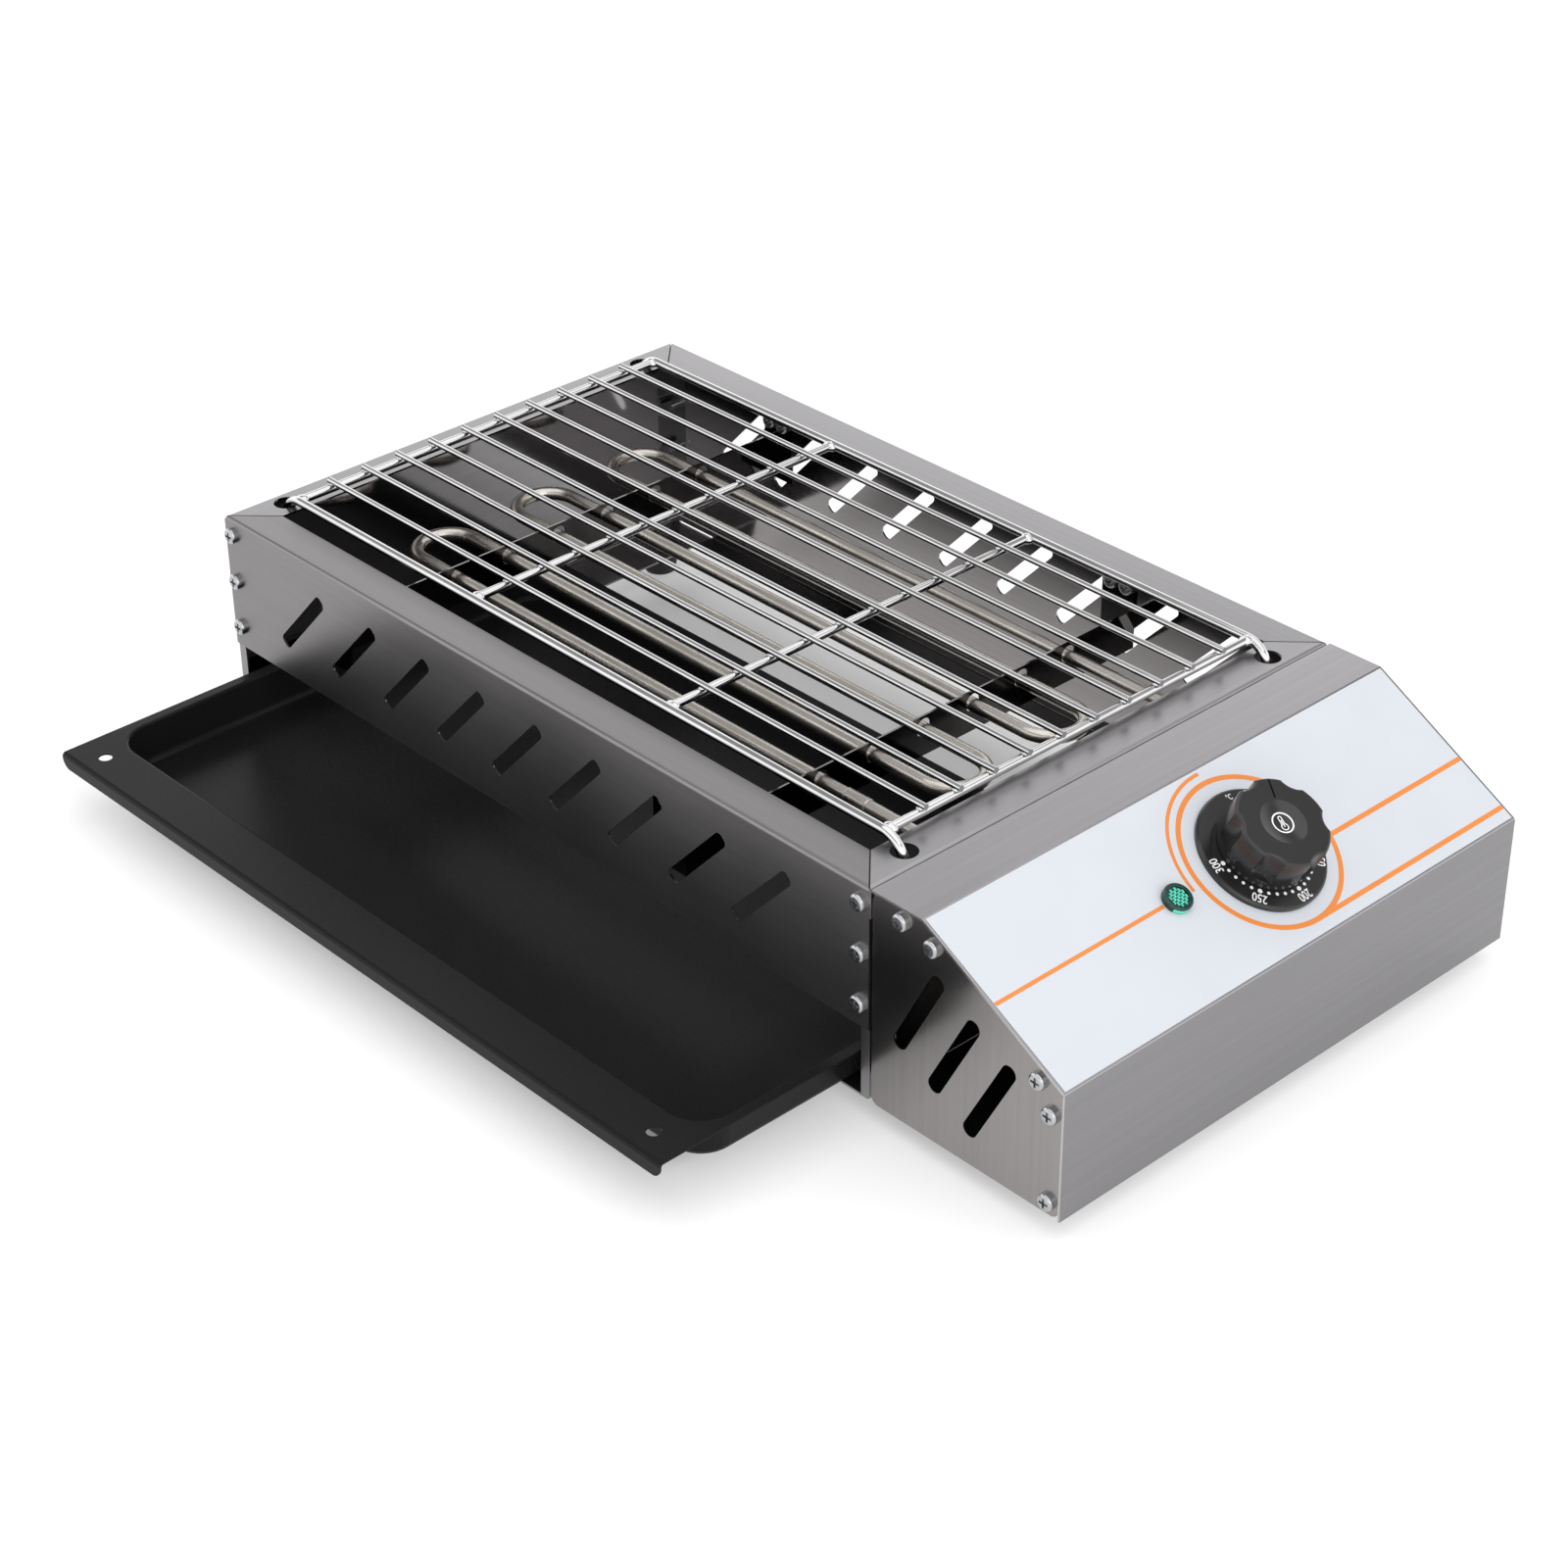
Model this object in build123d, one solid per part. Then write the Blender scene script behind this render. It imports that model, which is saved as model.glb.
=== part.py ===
from build123d import *
import os
from math import atan2, cos, degrees, hypot, radians, sin, sqrt

os.makedirs("parts", exist_ok=True)

# Table-top electric grill. Millimetres: X runs to the control box, -Y is the tray side, Z is up.
# The origin is the middle of the feet on the worktop.

# Overall sizes
body_length = 434.0
body_width = 280.0
body_height = 104.0
control_length = 106.0
foot_height = 10.0

# Sheet metal of the body
sheet = 1.0
bend_radius = 0.8
flange_width = 19.4
mitre_gap = 0.6
front_panel_height = 68.4
return_width = 12.0
return_foot_width = 5.0
base_flange_width = 30.0
rear_base_flange = 12.0
fit_gap = 0.2

# Slanted vents in the front and rear panels
vent_count = 9
vent_pitch = 39.2
vent_first = 57.5
vent_drop = 34.4
vent_length = 48.0
vent_width = 7.0
vent_corner = 2.6
vent_angle = 47.0

# Pan-head screws
screw_radius = 2.0
screw_head_radius = 3.9
screw_head_height = 2.6
screw_hole_gap = 0.1
recess_width = 1.1
recess_length = 4.6
recess_depth = 1.3
panel_screw_length = 7.0
panel_screw_inset = 5.5
panel_screw_count = 3
panel_screw_first = 8.5
panel_screw_pitch = 24.5

# Grate of welded rods
rim_rod_diameter = 4.5
cross_rod_diameter = 4.2
bar_diameter = 3.0
weld_sink = 0.5
bar_count = 10
cross_rod_count = 4
cross_rod_first = 20.0
cross_rod_pitch = 131.2
bar_overhang = 2.6
grate_half_width = 111.2
grate_hole_diameter = 12.0
hook_depth = 2.6
hook_bend = 12.0
grate_seat_gap = 0.3

# Tubular heating element
tube_diameter = 6.6
run_count = 6
run_pitch = 31.0
element_offset = 16.5
element_drop = 34.5
left_bend_inset = 47.0
right_bend_inset = 78.0
element_tail = 24.0
bushing_diameter = 10.0
bushing_length = 9.0
bushing_flange_diameter = 14.0
bushing_flange_height = 2.5
bushing_nut_width = 14.0
bushing_nut_height = 4.0
insulator_diameter = 6.2
insulator_length = 6.0
pin_diameter = 3.0
pin_length = 12.0

# Brackets that hang the element between the panels
bracket_left_inset = 73.0
bracket_right_inset = 110.0
bracket_height = 20.5
bracket_top_drop = 27.5
bracket_hole_diameter = 9.0
tab_width = 20.0
tab_top_drop = 11.5
tab_screw_pitch = 9.4
tab_screw_inset = 4.6
tab_screw_drop = 17.0
tab_screw_bite = 0.6

# Drip tray
tray_side_gap = 6.0
tray_depth = 286.0
tray_pull = 105.4
tray_sheet = 0.8
tray_pan_height = 19.8
tray_front_rim = 24.0
tray_side_rim = 5.0
tray_corner = 18.0
tray_draft = 6.0
tray_bottom_radius = 4.0
tray_lip_height = 7.5
tray_lip_corner = 5.0
tray_lip_bend = 2.0
tray_rim_corner = 3.0
tray_mouth_radius = 1.4
tray_under_radius = 1.6
tray_hole_diameter = 6.5
tray_hole_inset = 12.3
tray_hole_side = 17.5
tray_glide_gap = 0.3

# Rubber feet
foot_top_diameter = 20.0
foot_bottom_diameter = 16.0
foot_end_inset = 20.0
foot_control_inset = 25.0
foot_side_inset = 29.0
foot_recess_diameter = 10.0
foot_recess_depth = 5.0

# Control box
top_strip = 29.1
slope_drop = 42.6
cover_hang = 14.0
plate_inset = 0.6
plate_gap = 0.4
plate_corner = 4.0
lip_width = 13.0
base_upturn = 14.0
side_vent_count = 3
side_vent_first = 27.4
side_vent_first_drop = 45.7
side_vent_pitch = 19.6
side_vent_length = 50.0
side_vent_width = 7.5
side_vent_angle = 62.5
side_screw_inset = 7.0
side_screw_strip = 17.5
side_screw_slope_upper = 10.0
side_screw_slope_lower = 12.0
side_screw_end_upper = 13.0
side_screw_end_lower = 6.5
side_screw_length = 6.0
overlay_margin = 1.2
overlay_top_margin = 0.7
overlay_lower_margin = 1.3
overlay_thickness = 0.3

# Thermostat, dial and knob, placed on the slope
knob_offset = 16.3
dial_diameter = 58.6
dial_height = 2.6
dial_bevel = 0.8
thermostat_width = 44.0
thermostat_depth = 28.0
thermostat_screw_pitch = 28.0
thermostat_screw_bite = 5.0
thermostat_screw_head = 1.2
neck_diameter = 9.6
neck_hole_diameter = 10.4
neck_rise = 0.5
shaft_diameter = 6.0
shaft_clearance = 0.08
shaft_depth = 14.0
shaft_flat = 0.8
knob_gap = 0.5
knob_height = 19.0
knob_base_height = 4.0
knob_base_diameter = 41.6
knob_grip_diameter = 42.6
knob_lobes = 6
scallop_radius = 9.0
scallop_depth = 2.0
knob_edge = 1.2
knob_wall = 2.6
knob_hollow = 5.0
knob_hub_diameter = 12.0
knob_hub_rise = 1.6
dish_radius = 10.5
dish_depth = 1.2
pointer_width = 1.0
pointer_depth = 0.8
pointer_angle = 25.0
shaft_engagement = 12.0
bulb_diameter = 6.0
bulb_length = 80.0
bulb_drop = 60.0
bulb_clip_width = 8.0
capillary_diameter = 2.0
capillary_hole_diameter = 5.0
capillary_bend = 6.0

# Pilot lamp
lamp_offset = -35.3
lamp_diameter = 13.2
lamp_height = 3.0
lamp_edge = 0.8
lamp_stem_diameter = 9.8
lamp_hole_diameter = 10.2
lamp_length = 22.0
lamp_nut_width = 13.0
lamp_nut_height = 3.0

# Supply terminals and cord gland
terminal_length = 40.0
terminal_width = 20.0
terminal_height = 16.0
terminal_poles = 3
terminal_inset = 38.0
terminal_offset = -50.0
terminal_bore = 3.4
terminal_screw_diameter = 3.0
gland_inset = 26.0
gland_rise = 26.0
gland_diameter = 12.0
gland_bore = 7.6
gland_flange_diameter = 17.0
gland_flange_height = 5.0
gland_nut_width = 17.0
gland_nut_height = 5.0
gland_length = 9.0

# Places worked out from the sizes above
body_left = -(body_length + control_length) / 2
body_right = body_left + body_length
body_centre = (body_left + body_right) / 2
control_end = body_right + control_length
front = -body_width / 2
rear = body_width / 2
base_z = foot_height
top_z = foot_height + body_height
panel_bottom = top_z - front_panel_height
outer_bend = bend_radius + sheet

slope_run = control_length - top_strip
slope_length = hypot(slope_run, slope_drop)
slope_angle = degrees(atan2(slope_drop, slope_run))
slope_middle = (body_right + top_strip + slope_run / 2, 0, top_z - slope_drop / 2)
slope_normal = (sin(radians(slope_angle)), 0, cos(radians(slope_angle)))
# On the slope, local X points to the rear of the grill and local Y points up the slope
slope_plane = Plane(origin=slope_middle, x_dir=(0, 1, 0), z_dir=slope_normal)

hole_inset = flange_width / 2
hook_left = body_left + hole_inset
hook_right = body_right - hole_inset
# The bent ends of the rim rods ride on the inner edges of the flange holes
bend_inside = hook_bend - rim_rod_diameter / 2 - grate_seat_gap
rod_z = top_z + hook_bend - sqrt(bend_inside**2 - (hook_bend - grate_hole_diameter / 2) ** 2)
element_z = top_z - element_drop
plate_front = front + plate_inset
lip_front = plate_front + sheet


def block(low, high):
    size = [b - a for a, b in zip(low, high)]
    middle = [(a + b) / 2 for a, b in zip(low, high)]
    return Pos(*middle) * Box(*size)


def folded_sheet(plane, points, length, thickness=sheet, bend=outer_bend):
    # A strip of sheet metal folded along the points of its outer face, with rounded bends
    path = FilletPolyline(*points, radius=bend)
    outline = path.wire().offset_2d(thickness, side=Side.RIGHT)
    return extrude(plane * make_face(outline.edges()), amount=length)


def mirrored(shape):
    return mirror(shape, about=Plane.XZ)


def corner_cuts():
    # Upright prisms along the 45 degree mitre lines of the four top corners
    reach = flange_width + sheet
    height = 2 * outer_bend
    cuts = []
    for x, turn_x in ((body_left, 1), (body_right, -1)):
        for y, turn_y in ((front, 1), (rear, -1)):
            along = (turn_x / sqrt(2), turn_y / sqrt(2), 0)
            plane = Plane(origin=(x, y, top_z), x_dir=along, z_dir=(0, 0, 1))
            bar = Pos(reach * sqrt(2) / 2, 0, 0) * Box(reach * sqrt(2), mitre_gap, height)
            cuts.append(plane * bar)
    return cuts


def corner_wedge(x, y, turn_x, turn_y, keep_long):
    # Triangle of flange on the far side of a mitre line, removed from one of the two panels
    reach = flange_width + sheet
    third = (x + turn_x * reach, y) if not keep_long else (x, y + turn_y * reach)
    points = [(x, y), (x + turn_x * reach, y + turn_y * reach), third]
    face = make_face(Polyline(*points, close=True))
    return Pos(0, 0, top_z - outer_bend) * extrude(face, amount=2 * outer_bend)


def vent_cutters(y):
    plane = Plane(origin=(0, y, 0), x_dir=(1, 0, 0), z_dir=(0, -1, 0))
    cutters = []
    for i in range(vent_count):
        place = Pos(body_left + vent_first + i * vent_pitch, top_z - vent_drop)
        slot = RectangleRounded(vent_length, vent_width, vent_corner)
        slot = place * Rot(0, 0, vent_angle) * slot
        cutters.append(extrude(plane * slot, amount=2 * sheet, both=True))
    return cutters


def panel_screw_places():
    # Points on the front face, in X and Z, where the long panels are screwed to the end panels
    return [
        (x, top_z - panel_screw_first - i * panel_screw_pitch)
        for x in (body_left + panel_screw_inset, body_right - panel_screw_inset)
        for i in range(panel_screw_count)
    ]


def front_facing(x, y, z):
    return Plane(origin=(x, y, z), x_dir=(1, 0, 0), z_dir=(0, -1, 0))


def rear_facing(x, y, z):
    return Plane(origin=(x, y, z), x_dir=(-1, 0, 0), z_dir=(0, 1, 0))


def hole(plane, diameter, depth):
    return plane * Cylinder(diameter / 2, 2 * depth)


def pan_screw(length, radius=screw_radius, head_height=screw_head_height):
    # Head above local Z 0, shank below it, cross recess in the head
    head = extrude(Circle(screw_head_radius), amount=head_height)
    head = fillet(head.edges().group_by(Axis.Z)[-1], head_height / 2)
    for turn in (0, 90):
        arm = Pos(0, 0, head_height) * Box(recess_length, recess_width, 2 * recess_depth)
        head -= Rot(0, 0, turn) * arm
    return head + Pos(0, 0, -length / 2) * Cylinder(radius, length)


def long_panel_holes(y, facing):
    clear = 2 * (screw_radius + screw_hole_gap)
    return [hole(facing(x, y, z), clear, 3 * sheet) for x, z in panel_screw_places()]


def build_front_panel():
    profile = Plane(origin=(body_left, 0, 0), x_dir=(0, 1, 0), z_dir=(1, 0, 0))
    points = ((front, panel_bottom), (front, top_z), (front + flange_width, top_z))
    panel = folded_sheet(profile, points, body_length)
    for x, turn_x in ((body_left, 1), (body_right, -1)):
        panel -= corner_wedge(x, front, turn_x, 1, True)
    panel -= corner_cuts()
    panel -= vent_cutters(front)
    panel -= long_panel_holes(front, front_facing)
    return panel - bracket_screw_bites()


def build_rear_panel():
    profile = Plane(origin=(body_left, 0, 0), x_dir=(0, 1, 0), z_dir=(1, 0, 0))
    points = (
        (rear - flange_width, top_z),
        (rear, top_z),
        (rear, base_z),
        (rear - rear_base_flange, base_z),
    )
    panel = folded_sheet(profile, points, body_length)
    for x, turn_x in ((body_left, 1), (body_right, -1)):
        panel -= corner_wedge(x, rear, turn_x, -1, True)
        low = (x - fit_gap, rear - rear_base_flange - fit_gap, base_z - fit_gap)
        high = (x + fit_gap, rear + fit_gap, base_z + outer_bend)
        if turn_x > 0:
            high = (x + base_flange_width + fit_gap, high[1], high[2])
        else:
            low = (x - base_flange_width - fit_gap, low[1], low[2])
        panel -= block(low, high)
    panel -= corner_cuts()
    panel -= vent_cutters(rear)
    panel -= long_panel_holes(rear, rear_facing)
    return panel - bracket_screw_bites()


def end_panel(x, turn):
    # turn is 1 at the left end and -1 at the right end, so that the flanges point inwards
    profile = Plane(origin=(0, rear - sheet, 0), x_dir=(1, 0, 0), z_dir=(0, -1, 0))
    points = [
        (x + turn * base_flange_width, base_z),
        (x, base_z),
        (x, top_z),
        (x + turn * flange_width, top_z),
    ]
    if turn < 0:
        points.reverse()
    panel = folded_sheet(profile, points, body_width - 2 * sheet)
    for y, turn_y in ((front, 1), (rear, -1)):
        panel -= corner_wedge(x, y, turn, turn_y, False)
        panel += end_return(x, y, turn, turn_y)
    panel -= corner_cuts()
    for y in (-grate_half_width, grate_half_width):
        hook_x = x + turn * hole_inset
        panel -= Pos(hook_x, y, top_z) * Cylinder(grate_hole_diameter / 2, 4 * sheet)
    panel -= long_panel_holes(front, front_facing)
    panel -= long_panel_holes(rear, rear_facing)
    return panel


def end_return(x, y, turn, turn_y):
    # Upright strip behind the long panel: wide where it is screwed, narrow beside the tray
    near = y + turn_y * sheet
    far = y + turn_y * 2 * sheet
    low_y, high_y = min(near, far), max(near, far)
    wide = x + turn * return_width
    narrow = x + turn * return_foot_width
    inner = x + turn * sheet / 2
    top = top_z - outer_bend - fit_gap
    upper = block((min(inner, wide), low_y, panel_bottom), (max(inner, wide), high_y, top))
    lower = block(
        (min(inner, narrow), low_y, base_z + sheet / 2),
        (max(inner, narrow), high_y, panel_bottom),
    )
    return upper + lower


def foot_places():
    places = [body_left + foot_end_inset, control_end - foot_control_inset]
    return [(x, y) for x in places for y in (front + foot_side_inset, rear - foot_side_inset)]


def foot_screw_holes():
    radius = screw_radius + screw_hole_gap
    return [Pos(x, y, base_z) * Cylinder(radius, 6 * sheet) for x, y in foot_places()]


def build_left_end_panel():
    return end_panel(body_left, 1) - foot_screw_holes()


def build_right_end_panel():
    panel = end_panel(body_right, -1)
    across = Plane(origin=(body_right, 0, 0), x_dir=(0, 1, 0), z_dir=(1, 0, 0))
    for y in (run_y(0), run_y(run_count - 1)):
        opening = bushing_diameter + 2 * screw_hole_gap
        panel -= across * Pos(y, element_z, 0) * Cylinder(opening / 2, 4 * sheet)
    bulb_z = top_z - bulb_drop
    passage = across * Pos(capillary_y(), bulb_z, 0)
    return panel - passage * Cylinder(capillary_hole_diameter / 2, 4 * sheet)


def build_panel_screws():
    screw = pan_screw(panel_screw_length)
    screws = []
    for x, z in panel_screw_places():
        screws.append(front_facing(x, front, z) * screw)
        screws.append(rear_facing(x, rear, z) * screw)
    return screws


def run_y(i):
    return element_offset + (i - (run_count - 1) / 2) * run_pitch


def build_heating_element():
    # One tube folded to and fro: it starts and ends in the control box
    left = body_left + left_bend_inset
    right = body_right - right_bend_inset
    tail = body_right + element_tail
    edges = []
    for i in range(run_count):
        start = tail if i == 0 else (right if i % 2 == 0 else left)
        end = tail if i == run_count - 1 else (left if i % 2 == 0 else right)
        edges.append(Line((start, run_y(i)), (end, run_y(i))))
        if i < run_count - 1:
            bulge = -run_pitch / 2 if i % 2 == 0 else run_pitch / 2
            middle = (end + bulge, (run_y(i) + run_y(i + 1)) / 2)
            edges.append(ThreePointArc((end, run_y(i)), middle, (end, run_y(i + 1))))
    path = Pos(0, 0, element_z) * Wire(edges)
    section = Plane(origin=path @ 0, z_dir=path % 0) * Circle(tube_diameter / 2)
    return sweep(section, path=path)


def tail_places():
    return [
        Plane(origin=(body_right, run_y(i), element_z), x_dir=(0, 1, 0), z_dir=(1, 0, 0))
        for i in (0, run_count - 1)
    ]


def build_element_bushings():
    # Threaded collars on the tube, shouldered against the inside of the end panel
    shoulder = Pos(0, 0, -sheet - bushing_flange_height / 2)
    thread = Pos(0, 0, -sheet + bushing_length / 2)
    collar = shoulder * Cylinder(bushing_flange_diameter / 2, bushing_flange_height)
    collar += thread * Cylinder(bushing_diameter / 2, bushing_length)
    collar -= Cylinder(tube_diameter / 2, 4 * bushing_length)
    return [place * collar for place in tail_places()]


def build_element_nuts():
    nut = extrude(RegularPolygon(bushing_nut_width / sqrt(3), 6), amount=bushing_nut_height)
    nut -= Cylinder(bushing_diameter / 2, 4 * bushing_nut_height)
    return [place * nut for place in tail_places()]


def build_element_insulators():
    bead = Cylinder(insulator_diameter / 2, insulator_length)
    bead -= Cylinder(pin_diameter / 2, 2 * insulator_length)
    shift = Pos(0, 0, element_tail + insulator_length / 2)
    return [place * shift * bead for place in tail_places()]


def build_element_pins():
    length = insulator_length + pin_length
    pin = Pos(0, 0, element_tail + length / 2) * Cylinder(pin_diameter / 2, length)
    return [place * pin for place in tail_places()]


def bracket_frames():
    # Plate position and the way that its end tabs point
    return (
        (body_left + bracket_left_inset, 1),
        (body_right - bracket_right_inset, -1),
    )


def tab_screw_places(x, turn):
    first = x + turn * tab_screw_inset
    return [(first + turn * i * tab_screw_pitch, top_z - tab_screw_drop) for i in range(2)]


def build_bracket(x, turn):
    # Upright plate across the grill with a hole for each run and a tab at both ends
    inner_front = front + sheet
    bottom = top_z - bracket_top_drop - bracket_height
    low_x, high_x = min(x, x + turn * sheet), max(x, x + turn * sheet)
    plate = block((low_x, inner_front, bottom), (high_x, -inner_front, top_z - bracket_top_drop))
    rise = (bracket_hole_diameter - tube_diameter) / 2 - fit_gap
    for i in range(run_count):
        place = Plane(origin=(x, run_y(i), element_z + rise), z_dir=(1, 0, 0))
        plate -= place * Cylinder(bracket_hole_diameter / 2, 4 * sheet)
    low_x, high_x = min(x, x + turn * tab_width), max(x, x + turn * tab_width)
    tab = block((low_x, inner_front, bottom), (high_x, inner_front + sheet, top_z - tab_top_drop))
    clear = 2 * (screw_radius + screw_hole_gap)
    for screw_x, screw_z in tab_screw_places(x, turn):
        tab -= hole(front_facing(screw_x, inner_front, screw_z), clear, 2 * sheet)
    return plate + tab + mirrored(tab)


def bracket_screw_bites():
    # Shallow blind seats for the tab screws in the long panels
    clear = screw_radius + screw_hole_gap
    seat = Cylinder(clear, 2 * tab_screw_bite)
    seats = []
    for x, turn in bracket_frames():
        for screw_x, screw_z in tab_screw_places(x, turn):
            seats.append(front_facing(screw_x, front + sheet, screw_z) * seat)
            seats.append(rear_facing(screw_x, rear - sheet, screw_z) * seat)
    return seats


def build_bracket_screws():
    screw = pan_screw(sheet + tab_screw_bite)
    screws = []
    for x, turn in bracket_frames():
        for screw_x, screw_z in tab_screw_places(x, turn):
            screws.append(rear_facing(screw_x, front + 2 * sheet, screw_z) * screw)
            screws.append(front_facing(screw_x, rear - 2 * sheet, screw_z) * screw)
    return screws


def rim_rod(y):
    # Long rod whose ends curve down and stop just inside the flange holes
    low = rod_z - hook_bend - sheet
    points = ((hook_left, low), (hook_left, rod_z), (hook_right, rod_z), (hook_right, low))
    path = front_facing(0, y, 0) * FilletPolyline(*points, radius=hook_bend)
    section = Plane(origin=path @ 0, z_dir=path % 0) * Circle(rim_rod_diameter / 2)
    reach = rim_rod_diameter
    below = block(
        (hook_left - reach, y - reach, low - reach),
        (hook_right + reach, y + reach, top_z - hook_depth),
    )
    return sweep(section, path=path) - below


def build_grill_grate():
    grate = rim_rod(-grate_half_width) + rim_rod(grate_half_width)
    first = body_left + cross_rod_first
    last = first + (cross_rod_count - 1) * cross_rod_pitch
    across = Rot(90, 0, 0) * Cylinder(cross_rod_diameter / 2, 2 * grate_half_width)
    grate += [Pos(first + i * cross_rod_pitch, 0, rod_z) * across for i in range(cross_rod_count)]
    bar_z = rod_z + (cross_rod_diameter + bar_diameter) / 2 - weld_sink
    bar_length = last - first + 2 * bar_overhang
    bar = Rot(0, 90, 0) * Cylinder(bar_diameter / 2, bar_length)
    pitch = 2 * grate_half_width / (bar_count + 1)
    grate += [
        Pos((first + last) / 2, -grate_half_width + (i + 1) * pitch, bar_z) * bar
        for i in range(bar_count)
    ]
    return grate


def tray_pan(width, depth, height, corner, bottom_radius):
    pan = extrude(RectangleRounded(width, depth, corner), amount=-height, taper=tray_draft)
    return fillet(pan.edges().group_by(Axis.Z)[0], bottom_radius)


def tray_rim(width):
    # Flat rim whose front edge is rolled over into a short lip
    front_edge = -tray_depth / 2
    flat_depth = tray_depth - tray_lip_bend
    rim = extrude(Rectangle(width, flat_depth), amount=-tray_sheet)
    rim = fillet(rim.edges().filter_by(Axis.Z).group_by(Axis.Y)[-1], tray_rim_corner)
    rim = Pos(0, tray_lip_bend / 2, 0) * rim
    profile = Plane(origin=(-width / 2, 0, 0), x_dir=(0, 1, 0), z_dir=(1, 0, 0))
    points = ((front_edge, -tray_lip_height), (front_edge, 0), (front_edge + 2 * tray_lip_bend, 0))
    lip = folded_sheet(profile, points, width, tray_sheet, tray_lip_bend)
    lip = fillet(lip.edges().filter_by(Axis.Y).group_by(Axis.Z)[0], tray_lip_corner)
    return rim + lip


def edges_round_pan(shape, level, width, depth, shift):
    # Edges at one height that run round the mouth of the pan
    edges = shape.edges().filter_by_position(Axis.Z, level - fit_gap, level + fit_gap)
    edges = edges.filter_by_position(Axis.X, -width / 2, width / 2)
    return edges.filter_by_position(Axis.Y, shift - depth / 2, shift + depth / 2)


def build_drip_tray():
    width = body_length - 2 * sheet - 2 * tray_side_gap
    pan_width = width - 2 * tray_side_rim
    pan_depth = tray_depth - tray_front_rim - tray_side_rim
    shift = (tray_front_rim - tray_side_rim) / 2
    outer = tray_pan(pan_width, pan_depth, tray_pan_height, tray_corner, tray_bottom_radius)
    inner = tray_pan(
        pan_width - 2 * tray_sheet,
        pan_depth - 2 * tray_sheet,
        tray_pan_height - tray_sheet,
        tray_corner - tray_sheet,
        tray_bottom_radius - tray_sheet,
    )
    tray = Pos(0, shift, 0) * outer + tray_rim(width)
    under = edges_round_pan(tray, -tray_sheet, pan_width, pan_depth, shift)
    tray = fillet(under, tray_under_radius) - Pos(0, shift, 0) * inner
    mouth = edges_round_pan(tray, 0, pan_width, pan_depth, shift)
    tray = fillet(mouth, tray_mouth_radius)
    hole_y = tray_hole_inset - tray_depth / 2
    for side in (-1, 1):
        place = Pos(side * (width / 2 - tray_hole_side), hole_y, 0)
        tray -= place * Cylinder(tray_hole_diameter / 2, 4 * tray_sheet)
    rim_z = base_z + sheet + tray_glide_gap + tray_pan_height
    return Pos(body_centre, front - tray_pull + tray_depth / 2, rim_z) * tray


def build_rubber_feet():
    foot = loft([
        Circle(foot_bottom_diameter / 2),
        Pos(0, 0, foot_height) * Circle(foot_top_diameter / 2),
    ])
    foot -= Cylinder(foot_recess_diameter / 2, 2 * foot_recess_depth)
    foot -= Cylinder(screw_radius + screw_hole_gap, 4 * foot_height)
    return [Pos(x, y, 0) * foot for x, y in foot_places()]


def build_foot_screws():
    length = foot_height - foot_recess_depth + sheet
    screw = Rot(180, 0, 0) * pan_screw(length)
    return [Pos(x, y, foot_recess_depth) * screw for x, y in foot_places()]


def cover_points():
    # Outer face of the bent control cover, seen from the tray side
    return (
        (body_right, top_z - cover_hang),
        (body_right, top_z),
        (body_right + top_strip, top_z),
        (control_end, top_z - slope_drop),
        (control_end, base_z),
    )


def side_outline(margin, bottom=base_z):
    # Face inside the bent cover, in X and Z, drawn in by the margin on every side
    points = [*cover_points()[1:-1], (control_end, bottom), (body_right, bottom)]
    face = make_face(Polyline(*points, close=True))
    return offset(face, amount=-margin)


def side_plane(y):
    return Plane(origin=(0, y, 0), x_dir=(1, 0, 0), z_dir=(0, -1, 0))


def side_screw_places():
    # Five screws round the cover's edge, each the same distance inside the outer face
    down = (cos(radians(slope_angle)), -sin(radians(slope_angle)))
    inward = (-slope_normal[0], -slope_normal[2])
    start = (body_right + top_strip, top_z)
    upper = side_screw_slope_upper
    lower = slope_length - side_screw_slope_lower
    on_slope = [
        tuple(start[k] + down[k] * s + inward[k] * side_screw_inset for k in (0, 1))
        for s in (upper, lower)
    ]
    end_x = control_end - side_screw_inset
    return [
        (body_right + side_screw_strip, top_z - side_screw_inset),
        *on_slope,
        (end_x, top_z - slope_drop - side_screw_end_upper),
        (end_x, base_z + side_screw_end_lower),
    ]


def side_screw_holes():
    clear = 2 * (screw_radius + screw_hole_gap)
    return [hole(front_facing(x, lip_front, z), clear, 3 * sheet) for x, z in side_screw_places()]


def build_control_cover():
    profile = Plane(origin=(0, rear, 0), x_dir=(1, 0, 0), z_dir=(0, -1, 0))
    cover = folded_sheet(profile, cover_points(), body_width)
    lip_face = side_outline(sheet / 2) - side_outline(sheet + lip_width)
    lip = extrude(side_plane(lip_front) * lip_face, amount=-sheet)
    lip -= block(
        (body_right - sheet, front, base_z - sheet),
        (control_end - sheet - fit_gap, rear, base_z + base_upturn + fit_gap),
    )
    lip -= block(
        (body_right - sheet, front, base_z - sheet),
        (body_right + sheet + fit_gap, rear, top_z - sheet),
    )
    lip -= block(
        (body_right - sheet, front, base_z - sheet),
        (body_right + top_strip / 2 - lip_width / 2, rear, top_z - cover_hang),
    )
    lip -= side_screw_holes()
    cover = cover + lip + mirrored(lip)
    for place, diameter in slope_holes():
        cover -= slope_plane * place * Cylinder(diameter / 2, 6 * sheet)
    return cover


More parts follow.
